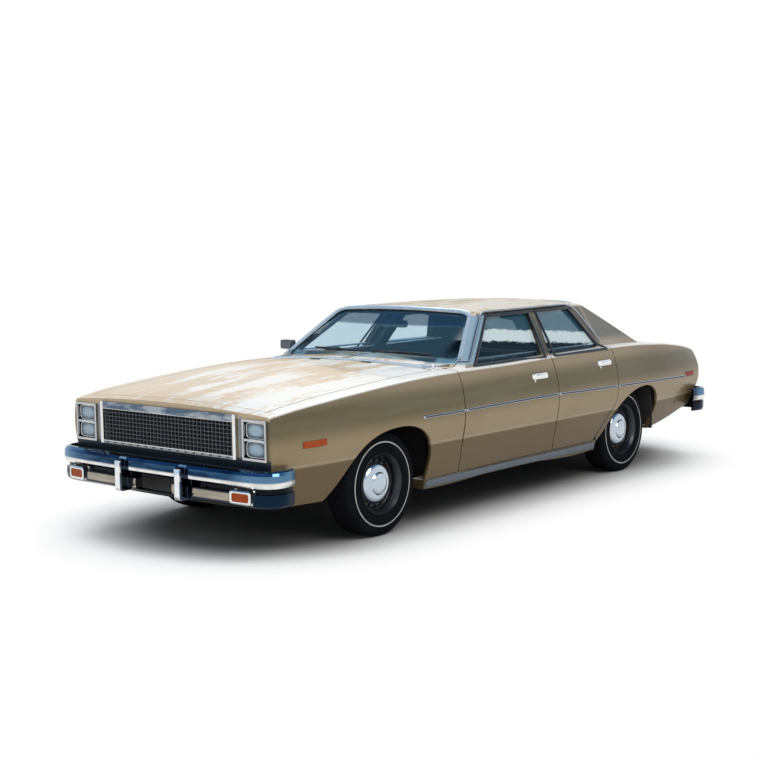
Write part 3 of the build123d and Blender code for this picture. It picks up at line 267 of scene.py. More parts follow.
# ---- materials -----------------------------------------------------------------------
def paint_material():
    """Metallic beige-gold with painted light: pale on top as a painted sky reflection, with tan patches; a
    darker olive band above the side moulding as a painted reflection; brown painted shade below the crease,
    with a painted highlight along it.

    The window frames, the rear posts and all that faces into the cabin are dark.
    """
    s = Shader("body_paint")
    x, y, z = s.axes()
    nx, ny, nz = s.facing()
    up = nz.between(0.42, 0.80)
    cloud = s.noise(1.7, 5, 0.6)
    # tan patches on the top faces, whiter towards the car's left side as a painted reflection
    blotch = s.noise(2.2, 6, 0.62, (0.45, 1.7, 1)) * 0.8 + s.noise(14, 4, 0.6) * 0.2 + y * 0.10
    blotch = blotch.between(0.44, 0.56)
    streak = s.noise(3.0, 5, 0.6, (0.35, 1, 4))
    flake = s.noise(900, 1, 0.5)
    # painted shade in brown below the crease, and a painted highlight in a light line along it
    past_crease = z - (x * 0.007 + 0.536)
    under = 1 - past_crease.between(-0.012, 0.008)
    painted_crease_highlight = past_crease.band(0.002, 0.012, 0.008)
    # painted reflection: a darker, streaked olive band above the side moulding, darker still ahead of the
    # rear quarter
    upper = z.between(0.66, 0.80)
    # painted shade: darker towards the bottom of the body
    painted_below = 1 - z.between(0.24, 0.36)
    roof = z.between(1.15, 1.25)
    above_belt, outboard = z.between(1.005, 1.03), abs(y).between(0.55, 0.58)
    # painted shadow of the drip rail: a dark band along the top of the side windows
    painted_drip_shadow = z.band(1.312, 1.340, 0.004) * x.band(-1.03, 0.150, 0.02) * abs(y).between(0.50, 0.55)
    frames = above_belt * x.band(-1.15, 0.50, 0.02) * outboard * (1 - up)
    # painted sky reflection: a bluish strip along the windshield post
    painted_post_reflection = (x + z * 1.272 - 1.799).between(-0.012, 0.0) * above_belt * x.between(0.10, 0.14)
    painted_post_reflection = painted_post_reflection * outboard * (1 - z.between(1.315, 1.335))
    rear_post = z.between(1.03, 1.10) * (1 - x.between(-1.22, -1.14)) * (1 - up)
    front = x.between(2.3, 2.4)
    # painted highlight: a lighter band along the top of the nose's front face
    brow = nx.between(0.5, 0.8) * front * z.between(0.846, 0.852)
    # painted shadow: dark navy on the nose's front face below the lamps and grille
    painted_chin_shadow = nx.between(0.2, 0.5) * front * (1 - z.between(0.606, 0.622)) * (1 - abs(y).between(0.88, 0.90))
    inward = (nx * (x + 0.4) * 0.3 + ny * y + nz * (z - 0.95) * 1.2).between(-0.10, -0.22)
    shelf = (1 - abs(y).between(0.60, 0.64)) * (1 - z.between(1.04, 1.08))
    post = (1 - (abs(y) + z * 0.72).between(1.515, 1.545)) * z.between(0.98, 1.0)
    shelf = shelf + post * (1 - up) * x.band(-1.3, 0.4, 0.02)
    cabin = x.band(-1.66, 0.66, 0.02) * (1 - z.between(1.36, 1.37)) * z.between(0.28, 0.32)
    cabin = cabin * (inward + shelf).between(0.0, 1.0)
    # painted sky reflection: faces that look up are coloured pale over the tan patches, a darker tan on the
    # roof
    top = s.mix(blotch, (0.60, 0.42, 0.22), (0.78, 0.75, 0.69))
    top = s.mix(roof, top, s.mix(blotch, (0.46, 0.36, 0.225), (0.62, 0.565, 0.475)))
    colour = s.coats(
        s.mix(cloud.between(0.35, 0.7), (0.218, 0.160, 0.086), (0.245, 0.186, 0.106)),
        (upper, s.mix(streak.between(0.38, 0.66), (0.070, 0.057, 0.020), (0.086, 0.074, 0.038))),
        # painted highlight: lighter where the shoulder turns a little up
        (nz.between(0.16, 0.42) * z.between(0.86, 0.95), (0.25, 0.19, 0.115)),
        (under * 0.88, (0.064, 0.034, 0.004)),
        (painted_crease_highlight * 0.35, (0.33, 0.28, 0.20)),
        (painted_below * 0.5, (0.050, 0.040, 0.028)),
        (flake.between(0.45, 0.62) * 0.25, (0.32, 0.26, 0.17)),
        (up, top),
        (painted_drip_shadow * 0.85, (0.020, 0.018, 0.014)),
        (frames * 0.85, (0.036, 0.031, 0.025)),
        (painted_post_reflection, (0.25, 0.36, 0.43)),
        (rear_post * 0.85, (0.040, 0.052, 0.050)),
        (upper * (1 - x.between(-1.9, -1.3)) * (1 - up) * 0.35, (0.030, 0.026, 0.006)),
        (brow, (0.40, 0.31, 0.20)),
        (painted_chin_shadow, (0.010, 0.018, 0.030)),
        (cabin, (0.016, 0.034, 0.045)))
    rough = 0.32 + cloud.between(0.4, 0.75) * 0.10 + under * 0.08 + roof * up * 0.3
    return s.finish(Base_Color=colour, Metallic=0.42 - up * 0.2 - cabin * 0.4, Roughness=rough + cabin * 0.2,
                    Coat_Weight=0.24 + up * (x.between(0.9, 1.7) * 0.5 - 0.16), Coat_Roughness=0.05,
                    Specular_IOR_Level=0.3, Normal=s.bump(s.noise(2.2, 2), 0.04, 0.01))


def bumper_material():
    """Plating painted with reflections: the sky in its upper half, the horizon in its edge and the ground
    below, with painted shade in its recesses.
    """
    s = Shader("bumper_chrome")
    x, y, z = s.axes()
    nx, ny, nz = s.facing()
    wide = abs(y)
    streak = s.noise(5, 4, 0.6, (1, 0.7, 5))
    haze = s.noise(9, 4, 0.6)
    # painted sky reflection: streaked deep blue in the upper half, paler blue towards the ends
    sky = s.coats(s.mix(streak.between(0.40, 0.62), (0.008, 0.032, 0.080), (0.034, 0.100, 0.190)),
                  (wide.between(0.62, 0.86) * 0.6, (0.150, 0.300, 0.470)))
    # painted reflection of the ground below the horizon line, navy at the wrapped ends
    painted_below = s.mix(streak.between(0.35, 0.7), (0.42, 0.375, 0.30), (0.30, 0.27, 0.23))
    # painted shade: dark in the recessed panels of the lower face
    panel = z.band(0.376, 0.418, 0.005) * (1 - abs(wide - 0.50).between(0.145, 0.165))
    panel = (panel + (1 - wide.between(0.245, 0.250)) * z.band(0.372, 0.424, 0.005)).between(0.0, 1.0)
    painted_below = s.mix(panel, (0.030, 0.040, 0.055), painted_below)
    painted_below = s.mix(wide.between(0.835, 0.850), painted_below, (0.008, 0.020, 0.038))
    guard = 1 - abs(wide - GUARD_Y).between(0.0325, 0.034)
    from_lamp = abs(wide - BUMPER_LAMP_Y)
    bezel = 1 - (from_lamp / 0.082).between(0.98, 1.0)
    bezel = bezel * x.between(0, 1) * z.band(0.3645, 0.4475, 0.001) * (1 - from_lamp.between(0.0798, 0.0802))
    # painted shade on the faces turned in towards the car's middle
    painted_hidden_shade = (nx * x * 0.4).between(-0.15, -0.35)
    tone = s.coats(
        s.mix(haze.between(0.35, 0.7), (0.84, 0.83, 0.80), (0.66, 0.66, 0.65)),
        (z.between(0.492, 0.506), sky),
        (1 - z.between(0.452, 0.462), painted_below),
        # painted shade in the slot below the blade
        (z.band(0.431, 0.461, 0.003), (0.010, 0.011, 0.014)),
        # painted highlight on the guards' front faces and painted shade on their sides
        (guard * abs(nx).between(0.55, 0.75), (0.80, 0.82, 0.84)),
        (guard * abs(ny).between(0.75, 0.92), (0.030, 0.045, 0.070)),
        (bezel, (0.74, 0.74, 0.73)),
        (painted_hidden_shade, (0.012, 0.013, 0.016)))
    return s.finish(Base_Color=tone, Metallic=1.0,
                    Roughness=0.07 + haze.between(0.5, 0.8) * 0.07 + painted_hidden_shade * 0.5)


def chrome_material(name, colour, rough, metallic=1.0):
    """Bright plating with haze and pits."""
    s = Shader(name)
    haze = s.noise(9, 4, 0.6)
    pit = s.noise(260, 2, 0.6)
    tone = s.mix(haze.between(0.45, 0.75) * 0.3, colour, tuple(c * 0.82 for c in colour))
    rough = haze.between(0.5, 0.8) * 0.07 + pit.between(0.66, 0.72) * 0.10 + rough
    return s.finish(Base_Color=tone, Metallic=metallic, Roughness=rough)


def glass_material():
    """Blue-tinted pane with a mirror sheen.

    The side windows carry a painted reflection of a dark sky, a bright horizon and a dark ground
    on their outer faces, and the windshield has a dark blue band along its top.
    """
    s = Shader("window_glass")
    x, y, z = s.axes()
    nx, ny, nz = s.facing()
    streak = s.noise(3, 4, 0.6, (1, 1, 3))
    wisp = s.noise(16, 4, 0.6, (1, 1, 2.5))
    front_face = 1 - s.node("ShaderNodeNewGeometry", output="Backfacing")
    side = abs(y).between(0.60, 0.68) * (1 - x.between(0.50, 0.70)) * x.between(-1.16, -1.14)
    # painted reflection on the side windows' outer faces: dark sky high up, bright horizon, dark ground low
    # down
    level = z - x * 0.079 + (wisp - 0.5) * 0.05
    low = 1 - level.between(1.122, 1.138)
    top = z.between(1.245, 1.262) * x.between(-0.3, 0.0)
    painted_side_reflection = s.mix(level.between(1.205, 1.222), (0.56, 0.66, 0.68), (0.026, 0.072, 0.106))
    painted_side_reflection = s.mix(low, painted_side_reflection, (0.006, 0.014, 0.022))
    film_and_painted_reflection = s.mix(side, s.mix(top, (0.13, 0.27, 0.37), (0.018, 0.055, 0.105)), painted_side_reflection)
    outer = (ny * y).between(0.05, 0.2) * front_face
    share = (0.085 + top * 0.42) * (1 - side) + side * outer * (0.80 - low * 0.10)
    pane = s.blend(share, s.surface("ShaderNodeBsdfTransparent", Color=(0.875, 0.93, 0.95)),
                   s.surface("ShaderNodeBsdfDiffuse", Color=film_and_painted_reflection))
    shine = s.surface("ShaderNodeBsdfGlossy", Color=(0.80, 0.88, 1.0),
                      Roughness=streak.between(0.5, 0.9) * 0.03 + 0.005)
    rim = s.node("ShaderNodeFresnel", [1.42])
    return s.done(s.blend(rim * front_face * (1 - side * 0.6) * 0.75, pane, shine))


def plain_material(name, colour, rough, grain, metallic=0.0, depth=0.3, coat=0.0, worn=None):
    """A moulded or painted surface with slight cloudiness and a fine grain."""
    s = Shader(name)
    cloud = s.noise(4, 4, 0.6)
    fine = s.noise(grain, 3, 0.6)
    tone = s.mix(cloud.between(0.35, 0.7), colour, worn or tuple(c * 1.35 + 0.004 for c in colour))
    return s.finish(Base_Color=tone, Metallic=metallic, Roughness=rough + (fine - 0.5) * 0.18,
                    Coat_Weight=coat, Coat_Roughness=0.08, Normal=s.bump(fine, depth, 0.001))


def lens_material(name, colour, glow):
    """Coloured moulded lens with fine upright flutes."""
    s = Shader(name)
    x, y, z = s.axes()
    flutes = ((x + y) * 900).wave()
    tone = s.mix(s.noise(40, 2).between(0.3, 0.7), colour, tuple(min(1, c * 1.25) for c in colour))
    tone = s.mix(flutes.between(0.2, 1.0) * 0.3, tone, tuple(c * 0.6 for c in colour))
    return s.finish(Base_Color=tone, Roughness=0.3, Coat_Weight=0.08, Coat_Roughness=0.03,
                    Specular_IOR_Level=0.12, Emission_Color=tone, Emission_Strength=glow,
                    Normal=s.bump(flutes, 0.25, 0.002))


def lamp_material():
    """Sealed-beam glass, fluted, with a painted reflection in pale blue in the middle of each lamp and
    painted shade towards its rim.
    """
    s = Shader("lamp_glass")
    x, y, z = s.axes()
    across = (abs(y) - LAMP_Y) / 0.078
    up = abs(abs(z - LAMP_Z) - LAMP_STEP) / 0.046
    away = (across * across + up * up).root()
    flutes = (y * 520).wave()
    # painted reflection in the middle of each lamp, painted shade towards its rim
    tone = s.mix(away.between(0.45, 1.05), (0.24, 0.34, 0.42), (0.018, 0.028, 0.040))
    tone = s.mix(flutes.between(0.1, 1.0) * 0.30, tone, (0.20, 0.27, 0.33))
    return s.finish(Base_Color=tone, Metallic=0.3, Roughness=0.14, Coat_Weight=0.6, Coat_Roughness=0.02,
                    Normal=s.bump(flutes, 0.35, 0.002))


def cloth_material():
    """Dark blue-green woven seat cloth."""
    s = Shader("seat_cloth")
    x, y, z = s.axes()
    weave = (x * 2600).wave() * (y * 2600).wave() + (z * 2600).wave() * 0.5
    tone = s.coats(
        s.mix(s.noise(7, 4, 0.6).between(0.35, 0.7), (0.020, 0.055, 0.075), (0.035, 0.082, 0.105)),
        (weave.between(-0.2, 0.9) * 0.4, (0.08, 0.15, 0.175)))
    return s.finish(Base_Color=tone, Roughness=0.82, Sheen_Weight=0.35, Normal=s.bump(weave, 0.35, 0.0008))


def grille_material():
    """Bright frame round a dark field of fine bars, with a painted sky reflection streaked along its top rail
    and a grey lower one.
    """
    s = Shader("grille_metal")
    x, y, z = s.axes()
    wide = abs(y)
    inner = wide.between(0.5965, 0.5955) * z.between(0.6235, 0.6245) * z.between(0.8285, 0.8275)
    inner = inner * x.between(2.566, 2.562)
    between_ends = 1 - wide.between(0.594, 0.600)
    haze = s.noise(60, 3)
    streak = s.noise(7, 4, 0.6, (1, 0.6, 3))
    tone = s.coats(
        s.mix(haze.between(0.4, 0.7), (0.78, 0.78, 0.77), (0.70, 0.71, 0.72)),
        # painted sky reflection: streaked blue along the top rail
        (z.between(0.829, 0.832) * between_ends,
         s.mix(streak.between(0.42, 0.62), (0.085, 0.130, 0.190), (0.34, 0.38, 0.42))),
        ((1 - z.between(0.618, 0.622)) * between_ends, (0.22, 0.24, 0.25)),
        (inner, (0.072, 0.080, 0.092)))
    return s.finish(Base_Color=tone, Metallic=1.0 - inner * 0.5, Roughness=0.10 + inner * 0.3 + haze * 0.06)


def tyre_material():
    """Black rubber, dusty in the tread, with one thin white ring on the sidewall."""
    s = Shader("tyre_rubber")
    x, y, z = s.axes()
    along = x - (REAR_AXLE + x.between(-0.01, 0.01) * (FRONT_AXLE - REAR_AXLE))
    radius = (along * along + (z - AXLE_Z) * (z - AXLE_Z)).root()
    dust = s.noise(9, 4, 0.6)
    tone = s.coats(
        s.mix(dust.between(0.3, 0.75), (0.0020, 0.0026, 0.0042), (0.0060, 0.0064, 0.0080)),
        (radius.between(0.325, 0.338) * 0.5, (0.011, 0.011, 0.012)),
        (radius.band(0.2660, 0.2730, 0.0006) * abs(y).between(0.88, 0.885),
         s.mix(dust.between(0.35, 0.7), (0.40, 0.40, 0.39), (0.28, 0.28, 0.27))))
    return s.finish(Base_Color=tone, Roughness=0.66 + dust * 0.25, Specular_IOR_Level=0.05,
                    Normal=s.bump(s.noise(240, 2), 0.2, 0.0008))


# Each finish: its material and a slot name for the pieces made in it.
FINISHES = {
    "paint": (paint_material(), "body_paint"),
    "chrome": (chrome_material("chrome", (0.84, 0.85, 0.86), 0.05), "chrome"),
    "bumper": (bumper_material(), "chrome"),
    "bezel": (chrome_material("bezel_chrome", (0.52, 0.54, 0.55), 0.14), "chrome"),
    # the bluish tone of the cap's and the trim's plating is a painted sky reflection
    "cap": (chrome_material("cap_chrome", (0.50, 0.57, 0.64), 0.10), "chrome"),
    "trim": (chrome_material("pillar_trim", (0.56, 0.66, 0.74), 0.26, 0.55), "chrome"),
    # the dark blue-grey tone of this plating is a painted reflection
    "rocker": (chrome_material("rocker_metal", (0.10, 0.12, 0.145), 0.30, 0.6), "chrome"),
    "dull_chrome": (chrome_material("dull_chrome", (0.42, 0.45, 0.49), 0.16), "chrome"),
    "grille": (grille_material(), "grille_dark"),
    "glass": (glass_material(), "window_glass"),
    "black": (plain_material("underseal_black", (0.010, 0.010, 0.011), 0.75, 90, depth=0.6),
              "underbody_black"),
    "satin": (plain_material("satin_black", (0.008, 0.009, 0.011), 0.35, 90, depth=0.1),
              "underbody_black"),
    "iron": (plain_material("dark_iron", (0.03, 0.028, 0.026), 0.55, 120, 0.5, worn=(0.07, 0.045, 0.03)),
             "black_metal"),
    "exhaust": (plain_material("exhaust_metal", (0.20, 0.18, 0.16), 0.42, 80, 0.8,
                               worn=(0.16, 0.09, 0.05)),
                "exhaust_metal"),
    "rubber": (plain_material("black_rubber", (0.012, 0.012, 0.012), 0.62, 200), "tyre_rubber"),
    "tyre": (tyre_material(), "tyre_rubber"),
    "dash": (plain_material("dash_plastic", (0.016, 0.038, 0.052), 0.55, 420, depth=0.5), "dash_plastic"),
    "amber": (lens_material("amber_lens", (0.235, 0.036, 0.003), 0.02), "amber_lens"),
    "red": (lens_material("red_lens", (0.20, 0.006, 0.008), 0.0), "red_lens"),
    "lamp": (lamp_material(), "lamp_glass"),
    "cloth": (cloth_material(), "interior_blue"),
    "wheel": (plain_material("wheel_black", (0.003, 0.003, 0.0045), 0.34, 50, depth=0.1, coat=0.12),
              "wheel_black"),
    "brake": (plain_material("brake_steel", (0.20, 0.19, 0.18), 0.4, 150, 0.9, worn=(0.14, 0.09, 0.06)),
              "black_metal"),
    "gauge": (plain_material("gauge_face", (0.010, 0.012, 0.014), 0.3, 60, coat=0.5,
                             worn=(0.05, 0.055, 0.055)), "dash_plastic"),
    "plate": (plain_material("number_plate", (0.62, 0.63, 0.62), 0.4, 40, depth=0.05, coat=0.4), "chrome"),
    "engine": (plain_material("engine_paint", (0.05, 0.09, 0.12), 0.45, 70, 0.2, coat=0.2), "black_metal"),
}

# What each node is finished in; a node that isn't named here is a painted panel.
NODE_FINISHES = {
    "black": "underbody front_frame", "bumper": "front_bumper rear_bumper", "bezel": "headlamp_bezels",
    "lamp": "headlamps", "grille": "grille", "amber": "turn_and_marker_lamps", "red": "tail_lamps",
    "dash": "dashboard steering_wheel", "cloth": "front_seat rear_seat", "engine": "engine",
    "iron": "driveline front_suspension knuckle_left knuckle_right rear_axle leaf_springs",
    "exhaust": "exhaust fuel_tank", "rocker": "door_mirror", "glass": "windshield rear_window",
}
finish_of = {name: finish for finish, names in NODE_FINISHES.items() for name in names.split()}
for name, node in nodes.items():
    finish = finish_of.get(name, "glass" if "door_glass" in name else "paint")
    if name.startswith(("tyre", "wheel")):
        finish = name.split("_")[0]
    node.data.materials.clear()
    node.data.materials.append(FINISHES[finish][0])

# ---- surfaces worked out as arrays ---------------------------------------------------
def grid(points):
    """Quads between the neighbours of a rows x columns x 3 array of points."""
    rows, cols = points.shape[:2]
    index = np.arange(rows * cols).reshape(rows, cols)
    faces = np.stack([index[:-1, :-1], index[1:, :-1], index[1:, 1:], index[:-1, 1:]], -1)
    return points.reshape(-1, 3), faces.reshape(-1, 4)


def joined(*shapes):
    """Several (points, faces) shapes as one."""
    starts = np.cumsum([0] + [len(points) for points, faces in shapes[:-1]])
    return (np.concatenate([points for points, faces in shapes]),
            np.concatenate([faces + start for (points, faces), start in zip(shapes, starts)]))


def closed(rows):
    """The rows with the first one again at the end."""
    return np.concatenate([rows, rows[:1]])


def oval(half_u, half_v, power=4.0, count=16):
    """Closed outline |u / half_u|^power + |v / half_v|^power = 1."""
    t = np.linspace(0, 2 * pi, count + 1)
    c, s = np.cos(t), np.sin(t)
    return np.stack([half_u * np.sign(c) * np.abs(c) ** (2 / power),
                     half_v * np.sign(s) * np.abs(s) ** (2 / power)], -1)


def unit(vectors):
    """Each vector divided by its length."""
    return vectors / np.maximum(np.linalg.norm(vectors, axis=-1, keepdims=True), 1e-9)


def carried(path, profile, out, loop=False, bulge=0.003, size=1.0):
    """Profile carried along a path.

    With T the path's direction, N the outward direction made square to T and B = T x N, a point
    is P + (u B + v N) * size. The ends are closed by rings that shrink like a quarter circle over bulge.
    """
    path = np.asarray(path, float)
    out = np.broadcast_to(np.asarray(out, float), path.shape)
    if loop:
        tangent = closed(unit(np.roll(path[:-1], -1, 0) - np.roll(path[:-1], 1, 0)))
    else:
        tangent = unit(np.gradient(path, axis=0))
    normal = unit(out - (out * tangent).sum(-1, keepdims=True) * tangent)
    side = np.cross(tangent, normal)
    ring = profile[None] * np.broadcast_to(size, len(path))[:, None, None]
    points = path[:, None] + ring[..., :1] * side[:, None] + ring[..., 1:] * normal[:, None]
    if not loop:
        steps = ((0.0, 1.0), (0.55, 0.84), (0.85, 0.53))
        first, last = [[path[end] + wide * (points[end] - path[end]) + lead * tangent[end] * bulge * far
                        for wide, far in steps] for end, lead in ((0, -1), (-1, 1))]
        points = np.concatenate([first, points, last[::-1]])
    return grid(points)


def rod(a, b, radius, count=12, steps=2, bulge=0.001):
    """Round bar between two points."""
    path = np.linspace(a, b, steps)
    lead = unit(np.subtract(b, a))
    out = (0, 0, 1) if abs(lead[2]) < 0.9 else (1, 0, 0)
    return carried(path, oval(radius, radius, 2, count), out, bulge=bulge)


def smooth_path(points, count):
    """Catmull-Rom curve through points, count samples in all."""
    points = np.asarray(points, float)
    padded = np.concatenate([2 * points[:1] - points[1:2], points, 2 * points[-1:] - points[-2:-1]])
    spans = len(padded) - 3
    t = np.linspace(0, spans, count)
    k = np.minimum(t.astype(int), spans - 1)
    f = (t - k)[:, None]
    a, b, c, d = padded[k], padded[k + 1], padded[k + 2], padded[k + 3]
    return 0.5 * (2 * b + (c - a) * f + (2 * a - 5 * b + 4 * c - d) * f ** 2
                  + (3 * b - a - 3 * c + d) * f ** 3)


def turned(profile, centre, count=96, change=None, out=1):
    """Profile of (radius, along) turned about a line along y.

    A point is (cx + r cos t, cy + out * along, cz + r sin t); change may alter r and along by t.
    """
    profile = np.asarray(profile, float)
    t = np.linspace(0, 2 * pi, count + 1)[:, None]
    r = np.broadcast_to(profile[:, 0], (count + 1, len(profile)))
    along = np.broadcast_to(profile[:, 1], r.shape)
    if change:
        r, along = change(t, r, along)
    points = np.stack([centre[0] + r * np.cos(t), centre[1] + out * along, centre[2] + r * np.sin(t)], -1)
    return grid(points)


def crowned_plate(half_u, half_v, thick, crown, power=5.0, rings=8, count=48):
    """Rounded plate in its own u, v, w axes.

    The outline is a superellipse; the face rises by crown * (1 - s^2), s being the share of the
    way out, and turns over the edge down to -thick.
    """
    share = np.concatenate([np.linspace(0, 0.94, rings), [0.975, 0.995, 1.0, 1.0, 0.0]])
    height = crown * (1 - share ** 2)
    height[-5:] = [crown * 0.05 - 0.0004, -0.0012, -0.0030, -thick, -thick]
    outline = oval(1, 1, power, count)
    points = np.stack([share[:, None] * half_u * outline[:, 0], share[:, None] * half_v * outline[:, 1],
                       np.broadcast_to(height[:, None], (len(share), count + 1))], -1)
    return grid(points)


def set_in(shape, centre, u_axis, v_axis):
    """A shape in its own axes moved to the car's: centre + u U + v V + w (U x V)."""
    points, faces = shape
    u, v = unit(np.asarray(u_axis, float)), unit(np.asarray(v_axis, float))
    return np.asarray(centre) + points[:, :1] * u + points[:, 1:2] * v + points[:, 2:] * np.cross(u, v), faces


def hoop(outline, centre):
    """A flat outline's path across the car: centre + (0, u, v)."""
    return np.asarray(centre) + np.concatenate([0 * outline[:, :1], outline], -1)


def facing_rear(centre, *sizes):
    """A crowned plate that faces the car's rear."""
    return set_in(crowned_plate(*sizes), centre, (0, -1, 0), (0, 0, 1))


def slab(x0, x1, y0, y1, z0, z1, edge=0.004):
    """Block with softened edges: a superellipse section carried along x."""
    middle_y, middle_z = (y0 + y1) / 2, (z0 + z1) / 2
    profile = oval((y1 - y0) / 2, (z1 - z0) / 2, 14, 32)
    path = [(x0 + edge, middle_y, middle_z), (x1 - edge, middle_y, middle_z)]
    return carried(path, profile, (0, 0, 1), bulge=edge)


def build(name, shape, finish, body="car", replaces=(), sharp=38):
    """Object of a shape, welded, facing outward and riding on a body, in its finish's material."""
    points, faces = shape
    mesh = bpy.data.meshes.new(name)
    mesh.from_pydata(points.tolist(), [], faces.tolist())
    work = bmesh.new()
    work.from_mesh(mesh)
    bmesh.ops.remove_doubles(work, verts=work.verts, dist=2e-6)
    bmesh.ops.recalc_face_normals(work, faces=work.faces)
    work.to_mesh(mesh)
    work.free()
    mesh.materials.append(FINISHES[finish][0])
    mesh.shade_smooth()
    mesh.set_sharp_from_angle(angle=radians(sharp))
    obj = bpy.data.objects.new(name, mesh)
    scene.collection.objects.link(obj)
    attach(obj, body)
    if replaces:
        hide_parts(*replaces)
    return obj


@lru_cache(maxsize=None)
def tree_of(*names):
    """Search tree of the triangles of CAD nodes at rest."""
    points, faces, start = [], [], 0
    for name in names:
        mesh = nodes[name].data
        matrix = nodes[name].matrix_world
        points += [matrix @ v.co for v in mesh.vertices]
        faces += [[start + i for i in p.vertices] for p in mesh.polygons]
        start = len(points)
    return BVHTree.FromPolygons(points, faces)


def landed(tree, spots, direction, lift=0.0):
    """Where rays from spots meet a surface, lifted off it, and its outward normals; misses are left out."""
    places, normals = [], []
    for spot in spots:
        place, normal, index, distance = tree.ray_cast(Vector(spot), Vector(direction))
        if place is None:
            continue
        if normal.dot(Vector(direction)) > 0:
            normal = -normal
        places.append(place + normal * lift)
        normals.append(normal)
    return np.array(places), np.array(normals)


def laid(tree, spots, direction, lift, profile, bulge=0.003):
    """Profile carried along the line on which rays from spots land."""
    places, outs = landed(tree, spots, direction, lift)
    return carried(places, profile, outs, bulge=bulge)


def side_strip(node, path_xz, half_wide, thick, sign, power=3.0, lift=None, step=0.03):
    """Moulding laid on the side of a CAD node along a path seen from the side."""
    path = np.asarray(path_xz, float)
    lengths = np.concatenate([[0], np.cumsum(np.linalg.norm(np.diff(path, axis=0), axis=1))])
    t = np.linspace(0, lengths[-1], max(3, int(lengths[-1] / step)))
    spots = np.stack([np.interp(t, lengths, path[:, 0]), np.full(len(t), sign * 1.3),
                      np.interp(t, lengths, path[:, 1])], -1)
    places, normals = landed(tree_of(node), spots, (0, -sign, 0), thick * 0.3 if lift is None else lift)
    normals = unit(normals + np.roll(normals, 1, 0) * 0.5 + np.roll(normals, -1, 0) * 0.5)
    return carried(places, oval(half_wide, thick, power), normals, bulge=half_wide * 0.6)


SIDES = (("left", 1), ("right", -1))

# ---- tyres and wheels ----------------------------------------------------------------
PITCHES = 60
TREAD_HALF = 0.080


def tyre_section():
    """Closed section of a tyre as (radius, along): rounded sidewalls, flat tread, plain inside."""
    shoulder = [(0.192, 0.082), (0.205, 0.092), (0.228, 0.1005), (0.250, 0.1035), (0.282, 0.1020),
                (0.308, 0.0965), (0.325, 0.0885), (0.3335, TREAD_HALF)]
    wall = smooth_path(shoulder, 22)
    y = np.linspace(TREAD_HALF, -TREAD_HALF, 51)[1:-1]
    tread = np.stack([0.3378 - 0.0043 * (np.abs(y) / TREAD_HALF) ** 4, y], -1)
    inside = np.array([(0.182, -0.074), (0.182, 0.074)])
    return closed(np.concatenate([wall, tread, wall[::-1] * (1, -1), inside]))


def tread_cut(t, r, along):
    """Radius lowered in four straight grooves and in slots that slant across the ribs.

    The slots repeat PITCHES times round; they cut where the fraction of
    t * PITCHES / 2 pi + 9 |y| falls below a share that is larger at the shoulders.
    """
    wide = np.abs(along)
    tread = (wide <= TREAD_HALF + 1e-6) & (r > 0.33)
    groove = (np.abs(wide - 0.0165) < 0.0036) | (np.abs(wide - 0.0495) < 0.0040)
    turn = np.mod(t * PITCHES / (2 * pi) + np.sign(along) * 0.25 + 9 * wide, 1.0)
    slot = turn < np.where(wide > 0.053, 0.30, 0.17)
    depth = np.where(groove, 0.0075, np.where(slot, 0.0050, 0.0))
    return r - np.where(tread, depth, 0.0), along


def rim_slots(t, r, along):
    """Sixteen cooling slots pressed 14 mm deep into the outer face of the disc."""
    inside = (r > 0.1435) & (r < 0.1625) & (along > 0.015) & (along < 0.04)
    return r, along - np.where(inside & (np.cos(t * 16) > 0.25), 0.014, 0.0)


# Closed sections as (radius, along) of the steel rim with its disc, the hub cap and the brake drum.
RIM_SECTION = [(0.060, 0.018), (0.100, 0.020), (0.130, 0.024), (0.141, 0.031), (0.146, 0.032),
               (0.151, 0.031), (0.156, 0.029), (0.161, 0.026), (0.166, 0.025), (0.171, 0.031),
               (0.1745, 0.052), (0.178, 0.070), (0.186, 0.083), (0.191, 0.088), (0.1935, 0.094),
               (0.196, 0.0962), (0.198, 0.095), (0.198, 0.090), (0.194, 0.084), (0.181, 0.072),
               (0.180, 0.0), (0.181, -0.072), (0.194, -0.084), (0.198, -0.090), (0.198, -0.095),
               (0.196, -0.0962), (0.191, -0.089), (0.174, -0.072), (0.172, -0.02), (0.166, 0.004),
               (0.150, 0.008), (0.110, 0.012), (0.070, 0.004), (0.060, 0.002), (0.060, 0.018)]
CAP_SECTION = [(0.0, 0.0895), (0.020, 0.0893), (0.040, 0.0880), (0.056, 0.0850), (0.066, 0.0808),
               (0.0715, 0.0745), (0.0745, 0.0715), (0.080, 0.0708), (0.092, 0.0700), (0.106, 0.0672),
               (0.118, 0.0615), (0.1275, 0.0525), (0.1335, 0.0430), (0.1362, 0.0365), (0.1368, 0.0335),
               (0.1340, 0.0325), (0.0, 0.0325)]
DRUM_SECTION = [(0.060, -0.004), (0.128, -0.004), (0.138, -0.008), (0.140, -0.014), (0.140, -0.033),
                (0.134, -0.036), (0.060, -0.036), (0.060, -0.004)]

